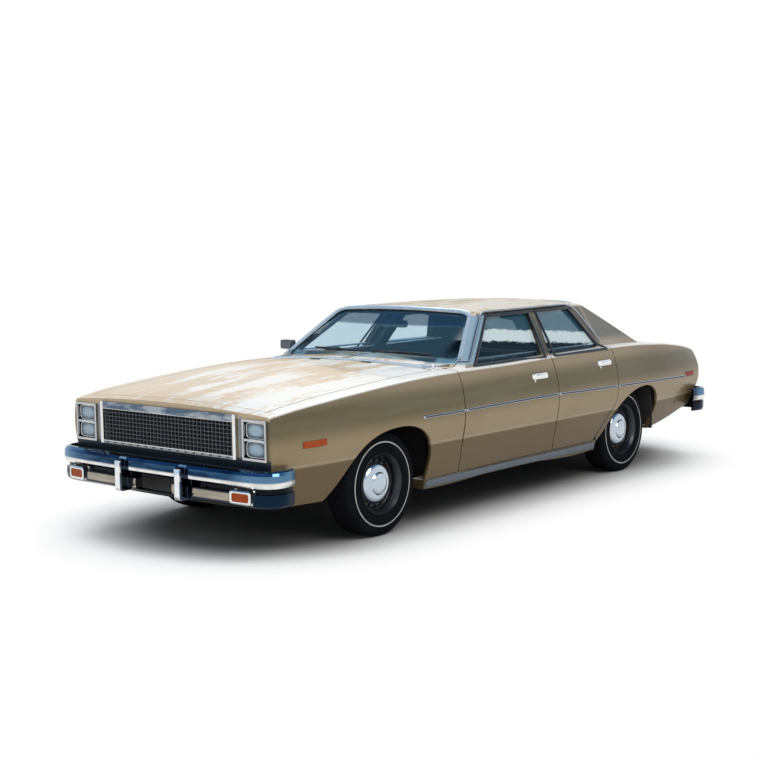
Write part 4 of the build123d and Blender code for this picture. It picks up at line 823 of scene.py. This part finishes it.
for side, sign in SIDES:
    for place, axle_x in (("front", FRONT_AXLE), ("rear", REAR_AXLE)):
        end = f"{place}_{side}"
        wheel = f"wheel_{end}"
        centre = (axle_x, sign * TRACK, AXLE_Z)
        build(f"tread_tyre_{end}", turned(tyre_section(), centre, 6 * PITCHES, tread_cut), "tyre", wheel,
              replaces=[f"tyre_{end}"], sharp=30)
        build(f"steel_rim_{end}", turned(RIM_SECTION, centre, 192, rim_slots, sign), "wheel", wheel,
              replaces=[wheel], sharp=30)
        build(f"hub_cap_{end}", turned(CAP_SECTION, centre, out=sign), "cap", wheel, sharp=24)
        build(f"brake_drum_{end}", turned(DRUM_SECTION, centre, 72, out=sign), "brake", wheel)
        valve = np.array(centre) + (0, sign * 0.082, 0.180)
        build(f"valve_stem_{end}", rod(valve, valve + (0, sign * 0.016, -0.003), 0.0035), "rubber", wheel)

# ---- side trim -----------------------------------------------------------------------
MOULDING = np.array([(-2.475, 0.677), (-0.35, 0.729), (1.23, 0.734), (2.05, 0.735)])
ROCKER = [(1.125, 0.276), (0.4, 0.274), (-0.945, 0.270)]
DRIP_RAIL = smooth_path([(0.560, 1.040), (0.400, 1.166), (0.262, 1.272), (0.190, 1.322), (0.120, 1.343),
                         (-0.10, 1.3455), (-0.55, 1.3455), (-0.93, 1.343), (-1.020, 1.328), (-1.075, 1.285),
                         (-1.140, 1.165), (-1.205, 1.045)], 60)
WINDOWS = {"front": [(0.527, 1.000), (0.120, 1.320), (-0.402, 1.320), (-0.300, 1.000), (0.527, 1.000)],
           "rear": [(-0.420, 1.000), (-0.503, 1.320), (-0.969, 1.320), (-1.148, 1.000), (-0.420, 1.000)]}
HANDLES = {"front": (-0.150, 0.878), "rear": (-1.045, 0.900)}


def moulding_run(x0, x1):
    """The side moulding's line between two places along the car."""
    x = np.linspace(x0, x1, 8)
    return np.stack([x, np.interp(x, MOULDING[:, 0], MOULDING[:, 1])], -1)


def door_handle(door, x, z, sign):
    """A plate, an arched pull and a lock button, set on the door's skin."""
    spots, outs = landed(tree_of(door), [(x + d, sign * 1.3, z) for d in (0.085, 0, -0.085)], (0, -sign, 0))
    middle, out = spots[1], outs[1]
    along = unit(spots[0] - spots[2])
    up = unit(np.cross(along, out)) * sign
    plate = carried([middle + along * d for d in (0.084, 0.04, 0, -0.04, -0.084)], oval(0.021, 0.004, 5), out,
                    bulge=0.012)
    arch = ((0.080, 0.003), (0.070, 0.016), (0.04, 0.022), (-0.04, 0.022), (-0.070, 0.016), (-0.080, 0.003))
    bar = smooth_path([middle + along * d + out * h - up * 0.002 for d, h in arch], 20)
    button = middle + along * 0.074 - up * 0.031
    return joined(plate, carried(bar, oval(0.0105, 0.0045, 3), out, bulge=0.004),
                  rod(button - out * 0.006, button + out * 0.003, 0.0085, 24, bulge=0.0015))


for side, sign in SIDES:
    runs = (("front_fender", f"front_fender_{side}", "car", 1.235, 0.792),
            ("front_door", f"front_door_{side}", f"front_door_{side}", 0.774, -0.347),
            ("rear_door", f"rear_door_{side}", f"rear_door_{side}", -0.368, -1.186),
            ("quarter", "body_shell", "car", -1.218, -2.385))
    for part, node, body, x0, x1 in runs:
        build(f"side_moulding_{part}_{side}", side_strip(node, moulding_run(x0, x1), 0.0105, 0.006, sign),
              "dull_chrome", body)
        inlay = side_strip(node, moulding_run(x0 - 0.012, x1 + 0.012), 0.0052, 0.0028, sign, lift=0.0062)
        build(f"moulding_inlay_{part}_{side}", inlay, "rubber", body)
    build(f"rocker_moulding_{side}", side_strip("body_shell", ROCKER, 0.024, 0.006, sign, 6), "rocker")
    build(f"drip_rail_{side}", side_strip("body_shell", DRIP_RAIL, 0.006, 0.008, sign), "dull_chrome")
    for place, outline in WINDOWS.items():
        door = f"{place}_door_{side}"
        edges = [side_strip(door, outline[i:i + 2], 0.0110, 0.005, sign, 5, step=0.04) for i in range(4)]
        build(f"window_frame_{place}_{side}", joined(*edges), "satin", door)
    for place, (x, z) in HANDLES.items():
        door = f"{place}_door_{side}"
        build(f"door_handle_{place}_{side}", door_handle(door, x, z, sign), "chrome", door)


# ---- screens: bright surrounds, wipers, cowl and antenna -------------------------------
DOWN, FORWARD, BACKWARD = (0, 0, -1), (1, 0, 0), (-1, 0, 0)


def screen_outline(low_half, low_z, low_mid_z, top_half, top_z, top_mid_z, grow=0.012, count=26):
    """Outline of a screen seen from the front: straight sides, bowed edges, rounded corners."""
    low, top = low_half + grow, top_half + grow
    y = np.linspace(-1, 1, count)
    bottom = np.stack([y * low, (low_z - grow) + (low_mid_z - low_z) * (1 - y ** 2)], -1)
    upper = np.stack([-y * top, (top_z + grow) + (top_mid_z - top_z) * (1 - y ** 2)], -1)
    t = np.linspace(0, 1, count)[:, None]
    right = bottom[-1] + (upper[0] - bottom[-1]) * t
    left = upper[-1] + (bottom[0] - upper[-1]) * t
    whole = np.concatenate([bottom[1:-1], right[1:-1], upper[1:-1], left[1:-1]])
    for _ in range(2):
        whole = 0.5 * whole + 0.25 * (np.roll(whole, 1, 0) + np.roll(whole, -1, 0))
    return whole


def screen_trim(outline, forward, half_wide):
    """Bright strip round a screen: the outline thrown along x onto the roof, pillars and cowl."""
    spots = [(forward * 3.0, y, z) for y, z in outline]
    places, normals = landed(tree_of("body_shell"), spots, (-forward, 0, 0), 0.0014)
    normals = closed(normals)
    for _ in range(3):
        normals = unit(normals + np.roll(normals, 1, 0) + np.roll(normals, -1, 0))
        normals[-1] = normals[0]
    return carried(closed(places), oval(half_wide, 0.007, 3.5), normals, loop=True)


for screen, forward, half_wide, outline in (
        ("windshield", 1, 0.018, screen_outline(0.812, 1.013, 1.043, 0.606, 1.338, 1.358)),
        ("rear_window", -1, 0.014, screen_outline(0.690, 1.060, 1.062, 0.560, 1.336, 1.342))):
    build(f"{screen}_trim", screen_trim(outline, forward, half_wide), "trim")

for part, pivot_y, tip_y in (("driver", -0.62, -0.05), ("passenger", -0.02, 0.50)):
    blade_y = np.linspace(pivot_y + 0.10, tip_y + 0.06, 9)
    blade_z = 1.058 + 0.014 * (1 - (blade_y / 0.81) ** 2) + np.linspace(0.006, 0.0, 9)
    spots, outs = landed(tree_of("windshield", "body_shell"), [(3.0, y, z) for y, z in zip(blade_y, blade_z)],
                         BACKWARD, 0.010)
    spine = carried(spots + outs * 0.007, oval(0.0045, 0.0022, 3), outs)
    foot = landed(tree_of("body_shell"), [(0.875, pivot_y, 2.0)], DOWN, 0.004)[0][0]
    bend = smooth_path([foot + (0, 0, 0.002), foot + (-0.01, 0.03, 0.014),
                        (foot + spots[4]) / 2 + (0.012, 0, 0.022), spots[4] + outs[4] * 0.012], 16)
    arm = carried(bend, oval(0.0050, 0.0022, 3), (0, 0, 1), bulge=0.004)
    cap = rod(foot - (0, 0, 0.012), foot + (0, 0, 0.012), 0.011, 20, bulge=0.003)
    build(f"wiper_arm_{part}", joined(spine, arm, cap), "satin")
    build(f"wiper_blade_{part}", carried(spots, oval(0.0035, 0.0080, 3), outs), "rubber")

# Dark strips laid on the cowl ahead of the windshield, painted shade in the slots of the air intake.
vents = [laid(tree_of("body_shell"), [(x, y, 2.0) for x in (0.862, 0.846, 0.830)], DOWN, 0.0003,
              oval(0.0095, 0.0012, 3)) for y in np.arange(-0.60, 0.601, 0.030)]
build("cowl_vent_slots", joined(*vents), "satin")

spots, outs = landed(tree_of("front_fender_left"), [(0.96, 0.845, 2.0)], DOWN)
base, lean = spots[0], unit(outs[0] + (-0.10, 0.02, 0.9))
build("antenna", joined(rod(base - lean * 0.004, base + lean * 0.022, 0.012, 24, bulge=0.004),
                        rod(base + lean * 0.020, base + lean * 0.052, 0.0045, 14, bulge=0.002)), "chrome")
for side, sign in SIDES:
    nozzle = laid(tree_of("hood"), [(0.935, sign * y, 2.0) for y in (0.20, 0.24, 0.28)], DOWN, 0.001,
                  oval(0.010, 0.007, 3), 0.004)
    build(f"washer_nozzle_{side}", nozzle, "satin", "hood")

# ---- lamps -----------------------------------------------------------------------------
LAMP_HALF_Y, LAMP_HALF_Z = 0.076, 0.0445
lenses, buckets, rims, screws = [], [], [], []
for side, sign in SIDES:
    y = sign * LAMP_Y
    for z in (LAMP_Z - LAMP_STEP, LAMP_Z + LAMP_STEP):
        lens = crowned_plate(LAMP_HALF_Y, LAMP_HALF_Z, 0.006, 0.0065, 5, 14, 64)
        lenses.append(set_in(lens, (LAMP_X, y, z), (0, 1, 0), (0, 0, 1)))
        buckets.append(slab(2.518, 2.5475, y - 0.0842, y + 0.0842, z - 0.0475, z + 0.0475))
        rim = hoop(oval(LAMP_HALF_Y + 0.0015, LAMP_HALF_Z + 0.0015, 5, 64), (LAMP_X, y, z))
        rims.append(carried(rim, oval(0.0022, 0.0035, 3), FORWARD, loop=True))
    for across in (-0.085, 0.085):
        at = np.array((2.573, sign * (LAMP_Y + across), LAMP_Z))
        screws.append(rod(at, at + (0.004, 0, 0), 0.0042, 14, bulge=0.001))
build("headlamp_lenses", joined(*lenses), "lamp", replaces=["headlamps"])
build("headlamp_buckets", joined(*buckets), "satin")
build("headlamp_rims", joined(*rims), "chrome")
build("bezel_screws", joined(*screws), "dull_chrome")

# Upright ribs pressed into the strips between the grille and the lamps.
ribs = [laid(tree_of("nose_panel"), [(3.0, sign * y, z) for z in np.linspace(0.615, 0.860, 9)], BACKWARD,
             0.0005, oval(0.0016, 0.0022, 2.5))
        for side, sign in SIDES for y in (0.634, 0.6405, 0.647, 0.6535, 0.660)]
build("nose_panel_ribs", joined(*ribs), "dull_chrome")

# Fine upright blades between the grille's bars, and dark slabs along its lower rail as painted shade in its
# notches.
blades = [carried([(2.532, y, 0.626), (2.532, y, 0.826)], oval(0.0012, 0.010, 4), FORWARD, bulge=0.001)
          for y in np.arange(-0.5795, 0.5800, 0.03311)]
build("grille_fine_blades", joined(*blades), "grille")
notches = [slab(2.5765, 2.5800, y - 0.012, y + 0.012, 0.6095, 0.6175, 0.001)
           for y in np.arange(-0.555, 0.556, 0.0740)]
build("grille_lower_notches", joined(*notches), "satin")
tubes = [carried([(2.461, -0.350, z), (2.461, 0.350, z)], oval(0.0012, 0.0015, 2, 8), FORWARD)
         for z in np.arange(0.460, 0.792, 0.0082)]
build("radiator_core", joined(slab(2.440, 2.458, -0.358, 0.358, 0.452, 0.798, 0.002), *tubes), "iron")
# A dark sheet behind the bumper's opening, standing in for the shade there.
shade_sheet = smooth_path([(x, y, 0.362) for x, y in ((2.46, -0.62), (2.505, -0.40), (2.512, 0), (2.505, 0.40),
                                              (2.46, 0.62))], 40)
build("shade_sheet_behind_bumper", carried(shade_sheet, oval(0.064, 0.004, 6), FORWARD), "black")

# ---- tail ------------------------------------------------------------------------------
tail_tree = tree_of("body_shell", "tail_lamps", "trunk_lid")
LENS_Y, LENS_Z = (0.414, 0.806), (0.649, 0.791)
PLATE_Z = 0.640
frames, bars = [], []
for side, sign in SIDES:
    middle, half = np.mean([LENS_Y, LENS_Z], axis=1), np.ptp([LENS_Y, LENS_Z], axis=1) / 2
    outline = (oval(*half, 9, 72) + middle)[:-1]
    spots, outs = landed(tail_tree, [(-4.0, sign * y, z) for y, z in outline], FORWARD, 0.002)
    outs = unit(closed(outs) * 0.2 + BACKWARD)
    frames.append(carried(closed(spots), oval(0.0065, 0.009, 4), outs, loop=True))
    for y in (0.52, 0.70):
        upright = [(-4.0, sign * y, z) for z in np.linspace(LENS_Z[0] + 0.004, LENS_Z[1] - 0.004, 9)]
        bars.append(laid(tail_tree, upright, FORWARD, 0.001, oval(0.0035, 0.0040, 3)))
    for z in (0.684, 0.720, 0.756):
        level = [(-4.0, sign * y, z) for y in np.linspace(LENS_Y[0] + 0.004, LENS_Y[1] - 0.004, 20)]
        bars.append(laid(tail_tree, level, FORWARD, 0.001, oval(0.0016, 0.0030, 3)))
build("tail_lamp_frames", joined(*frames), "chrome")
build("tail_lamp_bars", joined(*bars), "dull_chrome")

plate_x = landed(tree_of("body_shell"), [(-4.0, 0.0, PLATE_Z)], FORWARD, 0.002)[0][0][0]
plate = facing_rear((plate_x - 0.004, 0, PLATE_Z), 0.152, 0.076, 0.0012, 0.0006, 14, 6, 64)
rim = hoop(oval(0.156, 0.080, 14, 72), (plate_x - 0.003, 0, PLATE_Z))
build("rear_number_plate", plate, "plate")
build("rear_plate_frame", carried(rim, oval(0.004, 0.004, 3), BACKWARD, loop=True), "chrome")
bolts = [rod((plate_x - 0.0045, y, PLATE_Z + up), (plate_x - 0.008, y, PLATE_Z + up), 0.005)
         for y in (-0.115, 0.115) for up in (-0.050, 0.050)]
build("rear_plate_bolts", joined(*bolts), "dull_chrome")
spots, outs = landed(tree_of("trunk_lid"), [(-4.0, 0.0, 0.885)], FORWARD)
build("trunk_lock", rod(spots[0] - outs[0] * 0.004, spots[0] + outs[0] * 0.006, 0.015, 28, bulge=0.002),
      "chrome", "trunk_lid")


# ---- seats -----------------------------------------------------------------------------
def stuffed(obj, puff):
    """Mesh of a block that 20 frames of cloth under pressure blow up, each point by puff at most."""
    remesh = obj.modifiers.new("skin", "REMESH")
    remesh.mode, remesh.voxel_size = "VOXEL", 0.010
    cloth = obj.modifiers.new("stuffing", "CLOTH")
    cloth.settings.quality = 4
    cloth.settings.use_pressure = True
    cloth.settings.uniform_pressure_force = 4
    cloth.settings.effector_weights.gravity = 0
    cloth.settings.tension_stiffness = 40
    cloth.point_cache.frame_start, cloth.point_cache.frame_end = 1, 20
    places = []
    for number in range(1, 21):
        scene.frame_set(number)
        if number in (1, 20):
            mesh = bpy.data.meshes.new_from_object(obj.evaluated_get(bpy.context.evaluated_depsgraph_get()))
            places.append(np.empty((len(mesh.vertices), 3)))
            mesh.vertices.foreach_get("co", places[-1].ravel())
    scene.frame_set(1)
    step = places[1] - places[0]
    length = np.linalg.norm(step, axis=1, keepdims=True)
    held = places[0] + step * np.minimum(1, puff / np.maximum(length, 1e-9))
    mesh.vertices.foreach_set("co", held.ravel())
    mesh.update()
    obj.modifiers.clear()
    return mesh


def cushion(name, low, high, replaces=(), tilt=0.0, pad=0.045, puff=0.024):
    """Stuffed cushion between two corners: a rounded block blown up as cloth, then smoothed."""
    low, high = np.array(low), np.array(high)
    half = (high - low) / 2 - puff * 0.55
    path = [(0, y, 0) for y in np.linspace(pad - half[1], half[1] - pad, 24)]
    points, faces = carried(path, oval(half[0], half[2], 6, 48)[:, ::-1], FORWARD, bulge=pad)
    points = points @ np.array(Matrix.Rotation(tilt, 3, "Y")).T + (low + high) / 2
    obj = build(name, (points, faces), "cloth", replaces=replaces, sharp=60)
    obj.data = stuffed(obj, puff)
    obj.data.materials.clear()
    obj.data.materials.append(FINISHES["cloth"][0])
    obj.data.shade_smooth()
    smooth = obj.modifiers.new("soft", "SMOOTH")
    smooth.factor, smooth.iterations = 0.5, 6


cushion("front_seat_cushion", (-0.335, -0.690, 0.395), (0.195, 0.690, 0.545), ["front_seat"])
cushion("front_seat_back", (-0.425, -0.690, 0.540), (-0.275, 0.690, 0.985), tilt=-0.15)
cushion("rear_seat_cushion", (-1.385, -0.628, 0.500), (-0.940, 0.628, 0.595), ["rear_seat"])
cushion("rear_seat_back", (-1.520, -0.628, 0.585), (-1.375, 0.628, 0.960), tilt=-0.13)


# ---- cabin fittings --------------------------------------------------------------------
def wheel_point(across, upward, outward=0.0):
    """A place in the steering wheel's own plane: across, up the rim and towards the driver."""
    tilt = radians(STEER_TILT)
    return (np.array(STEER_CENTRE) + np.multiply.outer(across, (0.0, -1.0, 0.0))
            + np.multiply.outer(upward, (sin(tilt), 0.0, cos(tilt)))
            + np.multiply.outer(outward, (-cos(tilt), 0.0, sin(tilt))))


RIM_RADIUS, HORN_RADIUS = 0.190, 0.112
driver = wheel_point(0.0, 0.0, 1.0) - STEER_CENTRE
t = np.linspace(0, 2 * pi, 145)
rim = wheel_point(RIM_RADIUS * np.cos(t), RIM_RADIUS * np.sin(t), 0 * t)
grip = carried(rim, oval(0.0125, 0.0125, 2), unit(rim - STEER_CENTRE), loop=True,
               size=1 + 0.05 * np.cos(36 * t))
spokes = []
for hand in (-1, 1):
    spoke = [wheel_point(hand * across, up, out) for across, up, out in
             ((0.040, -0.006, -0.006), (0.110, -0.016, -0.004), (0.182, -0.010, 0.0))]
    spokes.append(carried(smooth_path(spoke, 14), oval(0.015, 0.006, 3), driver,
                          size=np.linspace(1.1, 0.75, 14)))
pad = set_in(crowned_plate(0.072, 0.040, 0.016, 0.006, 4), wheel_point(0, -0.004, 0.004), (0, -1, 0),
             wheel_point(0, 1.0) - STEER_CENTRE)
boss = rod(wheel_point(0, 0, -0.040), wheel_point(0, 0, -0.006), 0.044, 32, 4, 0.004)
build("steering_wheel_rim", joined(grip, *spokes, pad, boss), "dash", "steering_wheel",
      replaces=["steering_wheel"])
t = np.linspace(-0.94 * pi, -0.06 * pi, 40)
horn = wheel_point(HORN_RADIUS * np.cos(t), HORN_RADIUS * np.sin(t), 0.002)
build("horn_ring", carried(horn, oval(0.0035, 0.0035, 2, 12), driver), "chrome", "steering_wheel")

DASH_X = 0.597
WHEEL_Y, PANEL_Z = STEER_CENTRE[1], 0.892
DIALS = [WHEEL_Y + across for across in (-0.165, -0.080, 0.080, 0.165)]
panel = facing_rear((DASH_X + 0.0005, WHEEL_Y, PANEL_Z), 0.235, 0.046, 0.004, 0.001, 12, 6, 64)
build("instrument_panel", panel, "dull_chrome")
dials = [facing_rear((DASH_X - 0.0025, y, PANEL_Z), 0.034, 0.034, 0.003, 0.0015, 2, 6) for y in DIALS]
speed = facing_rear((DASH_X - 0.0025, WHEEL_Y, PANEL_Z), 0.037, 0.034, 0.003, 0.0015, 5, 6)
build("instrument_dials", joined(speed, *dials), "gauge")
needles = [rod((DASH_X - 0.0055, y, PANEL_Z), (DASH_X - 0.0055, y + 0.016, PANEL_Z + 0.016), 0.0011, 8)
           for y in sorted([WHEEL_Y, *DIALS])]
build("instrument_needles", joined(*needles), "amber")
build("radio_face", facing_rear((DASH_X, 0.0, 0.900), 0.090, 0.024, 0.004, 0.001, 9, 6), "gauge")
knobs = [rod((0.596, y, 0.900), (0.578, y, 0.900), 0.0095, 24, 2, 0.002) for y in (-0.076, 0.076)]
keys = [slab(0.584, 0.596, y - 0.0085, y + 0.0085, 0.884, 0.892, 0.002)
        for y in np.linspace(-0.046, 0.046, 5)]
build("radio_knobs", joined(*knobs, *keys), "chrome")
build("glove_box_lid", facing_rear((DASH_X, 0.385, 0.868), 0.175, 0.052, 0.005, 0.002, 10, 6, 64), "dash")
build("glove_box_latch", rod((DASH_X, 0.385, 0.908), (0.588, 0.385, 0.908), 0.009, 20, 2, 0.002), "chrome")
louvres = [carried([(0.5965, y - 0.044, z), (0.5965, y + 0.044, z)], oval(0.0022, 0.0050, 3), (-1, 0, 0.5))
           for y in (-0.635, -0.135, 0.145, 0.630) for z in np.linspace(0.940, 0.964, 4)]
build("dash_air_louvres", joined(*louvres), "satin")
brow = smooth_path([(0.588, -0.640, 0.957), (0.580, -0.500, 0.963), (0.578, -0.380, 0.965),
                    (0.580, -0.260, 0.963), (0.588, -0.120, 0.957)], 24)
build("instrument_brow", carried(brow, oval(0.009, 0.014, 3), BACKWARD, bulge=0.01), "dash")

on_glass = landed(tree_of("windshield"), [(-0.6, 0.0, 1.262)], FORWARD)[0][0]
at = on_glass - (0.072, 0, 0.006)
shell = set_in(crowned_plate(0.120, 0.028, 0.012, 0.003, 6, 6), at, (0, -1, 0), (-0.10, 0, 1))
stem = rod(at + (0.010, 0, 0.004), on_glass - (0.006, 0, -0.004), 0.006, 14, 3)
build("rear_view_mirror", joined(shell, stem), "rocker")
for side, sign in SIDES:
    hanging = [(x, sign * 0.34, 1.15) for x in (0.02, 0.07, 0.12)]
    spots, outs = landed(tree_of("body_shell"), hanging, (0, 0, 1), 0.014)
    build(f"sun_visor_{side}", carried(spots, oval(0.210, 0.008, 8, 48), DOWN, bulge=0.006), "cloth")
build("door_mirror_glass", facing_rear((0.4486, -0.934, 1.050), 0.046, 0.050, 0.0012, 0.0005, 6, 6), "chrome",
      "front_door_right")


def inner_trim(place, side, sign, x0, x1, arm_x1, crank_x):
    """Padded rolls from x0 to x1, an armrest, a window crank and a latch on the inside of a door."""
    door = f"{place}_door_{side}"

    def pressed(x, z, lift, half_u, half_v, power=3.0, bulge=0.003):
        """A strip laid on the door's inner face at a height."""
        line = [(along, sign * 0.45, z) for along in x]
        return laid(tree_of(door), line, (0, sign, 0), lift, oval(half_u, half_v, power), bulge)

    rolls = [pressed(np.linspace(x0, x1, 12), z, 0.003, 0.0175, 0.007, 2.5, 0.008)
             for z in (0.700, 0.738, 0.776, 0.814, 0.852)]
    build(f"door_card_rolls_{place}_{side}", joined(*rolls), "cloth", door)
    armrest = pressed(np.linspace(x0 + 0.04, arm_x1, 12), 0.655, 0.020, 0.020, 0.028, bulge=0.02)
    build(f"armrest_{place}_{side}", armrest, "dash", door)
    (hub,), (out,) = landed(tree_of(door), [(crank_x, sign * 0.45, 0.760)], (0, sign, 0))
    tip = hub + (0.055, 0, -0.045)
    crank = joined(carried([hub + out * 0.022, tip + out * 0.026], oval(0.008, 0.004, 3), out),
                   rod(tip + out * 0.022, tip + out * 0.050, 0.010, 20),
                   rod(hub, hub + out * 0.026, 0.014, 24))
    build(f"window_crank_{place}_{side}", crank, "chrome", door)
    latch = pressed((crank_x + 0.13, crank_x + 0.03), 0.905, 0.012, 0.008, 0.005)
    build(f"inner_latch_{place}_{side}", latch, "chrome", door)


def seat_seams(name, cushion_name, lines, direction):
    """Cords along lines thrown onto a stuffed cushion."""
    mesh = bpy.data.objects[cushion_name].data
    tree = BVHTree.FromPolygons([v.co for v in mesh.vertices], [list(p.vertices) for p in mesh.polygons])
    build(name, joined(*[laid(tree, line, direction, 0.0006, oval(0.0034, 0.0026, 2, 10)) for line in lines]),
          "cloth")


for side, sign in SIDES:
    inner_trim("front", side, sign, -0.26, 0.60, 0.34, 0.32)
    inner_trim("rear", side, sign, -0.98, -0.46, -0.56, -0.58)

# Seams sewn across the seats, from front to back and up the backs.
seam_y = np.linspace(-0.57, 0.57, 13)
for seat, wide, x0, x1, above, z0, z1, ahead in (("front_seat", 1.0, -0.24, 0.16, 1.5, 0.60, 0.90, 1.0),
                                                 ("rear_seat", 0.92, -1.33, -0.97, 0.90, 0.65, 0.92, -0.6)):
    flat = [[(x, y, above) for x in np.linspace(x0, x1, 18)] for y in seam_y * wide]
    upright = [[(ahead, y, z) for z in np.linspace(z0, z1, 16)] for y in seam_y * wide]
    seat_seams(f"{seat}_seams", f"{seat}_cushion", flat, DOWN)
    seat_seams(f"{seat}_back_seams", f"{seat}_back", upright, BACKWARD)


# ---- engine bay and underside ------------------------------------------------------------
def drum(profile, centre, count=64):
    """Profile of (radius, height) turned about an upright line: (cx + r cos t, cy + r sin t, cz + h)."""
    t = np.linspace(0, 2 * pi, count + 1)[:, None]
    r, h = np.array(profile).T[:, None]
    return grid(np.stack([centre[0] + r * np.cos(t), centre[1] + r * np.sin(t), centre[2] + h + 0 * t], -1))


cleaner = [(0, 0.0), (0.120, 0.0), (0.150, 0.006), (0.156, 0.016), (0.156, 0.046), (0.162, 0.050),
           (0.162, 0.056), (0.140, 0.062), (0.060, 0.066), (0.020, 0.068), (0.010, 0.072), (0, 0.073)]
build("air_cleaner", drum(cleaner, (1.42, 0, 0.791)), "engine")
for side, sign in SIDES:
    cover = [(x, sign * 0.215, 0.797) for x in np.linspace(1.14, 1.72, 14)]
    build(f"rocker_cover_{side}", carried(cover, oval(0.055, 0.030, 4), (0, 0, 1), bulge=0.02), "iron")
hose = smooth_path([(1.842, 0.12, 0.745), (1.95, 0.13, 0.765), (2.15, 0.17, 0.760), (2.32, 0.19, 0.745),
                    (2.432, 0.20, 0.740)], 40)
build("radiator_hose", carried(hose, oval(0.021, 0.021, 2, 20), (0, 0, 1)), "rubber")
FAN_Z = 0.60
blades = []
for turn in np.linspace(0, 2 * pi, 6)[:-1]:
    radial = np.array((0, cos(turn), sin(turn)))
    pitched = np.array((0.35, -sin(turn), cos(turn)))
    blades.append(carried([np.array((1.895, 0, FAN_Z)) + radial * r for r in (0.03, 0.10, 0.165)],
                          oval(0.034, 0.0015, 5), np.cross(pitched, radial), size=(0.6, 1.0, 1.15)))
build("engine_fan", joined(*blades, rod((1.846, 0, FAN_Z), (1.905, 0, FAN_Z), 0.036, 28)), "iron")

# The exhaust's mouth and a liner that closes each rear arch behind the wheel.
mouth = hoop(oval(0.0265, 0.0265, 2, 48), (-2.652, 0.410, 0.350))
build("tailpipe_lip", carried(mouth, oval(0.0022, 0.010, 3), BACKWARD, loop=True), "chrome")
for side, sign in SIDES:
    drop = smooth_path([(x, sign * 0.775, z) for x, z in ((-1.800, 0.640), (-1.826, 0.520), (-1.836, 0.400),
                                                          (-1.836, 0.300))], 18)
    build(f"rear_arch_liner_{side}", carried(drop, oval(0.150, 0.003, 10, 40), FORWARD), "black")


# ---- floor ---------------------------------------------------------------------------
REACH = 60
floor_mesh = bpy.data.meshes.new("floor")
corners = [(x * REACH, y * REACH, 0) for x, y in ((-1, -1), (1, -1), (1, 1), (-1, 1))]
floor_mesh.from_pydata(corners, [], [(0, 1, 2, 3)])
floor = bpy.data.objects.new("floor", floor_mesh)
scene.collection.objects.link(floor)
floor_mesh.materials.append(floor_material())
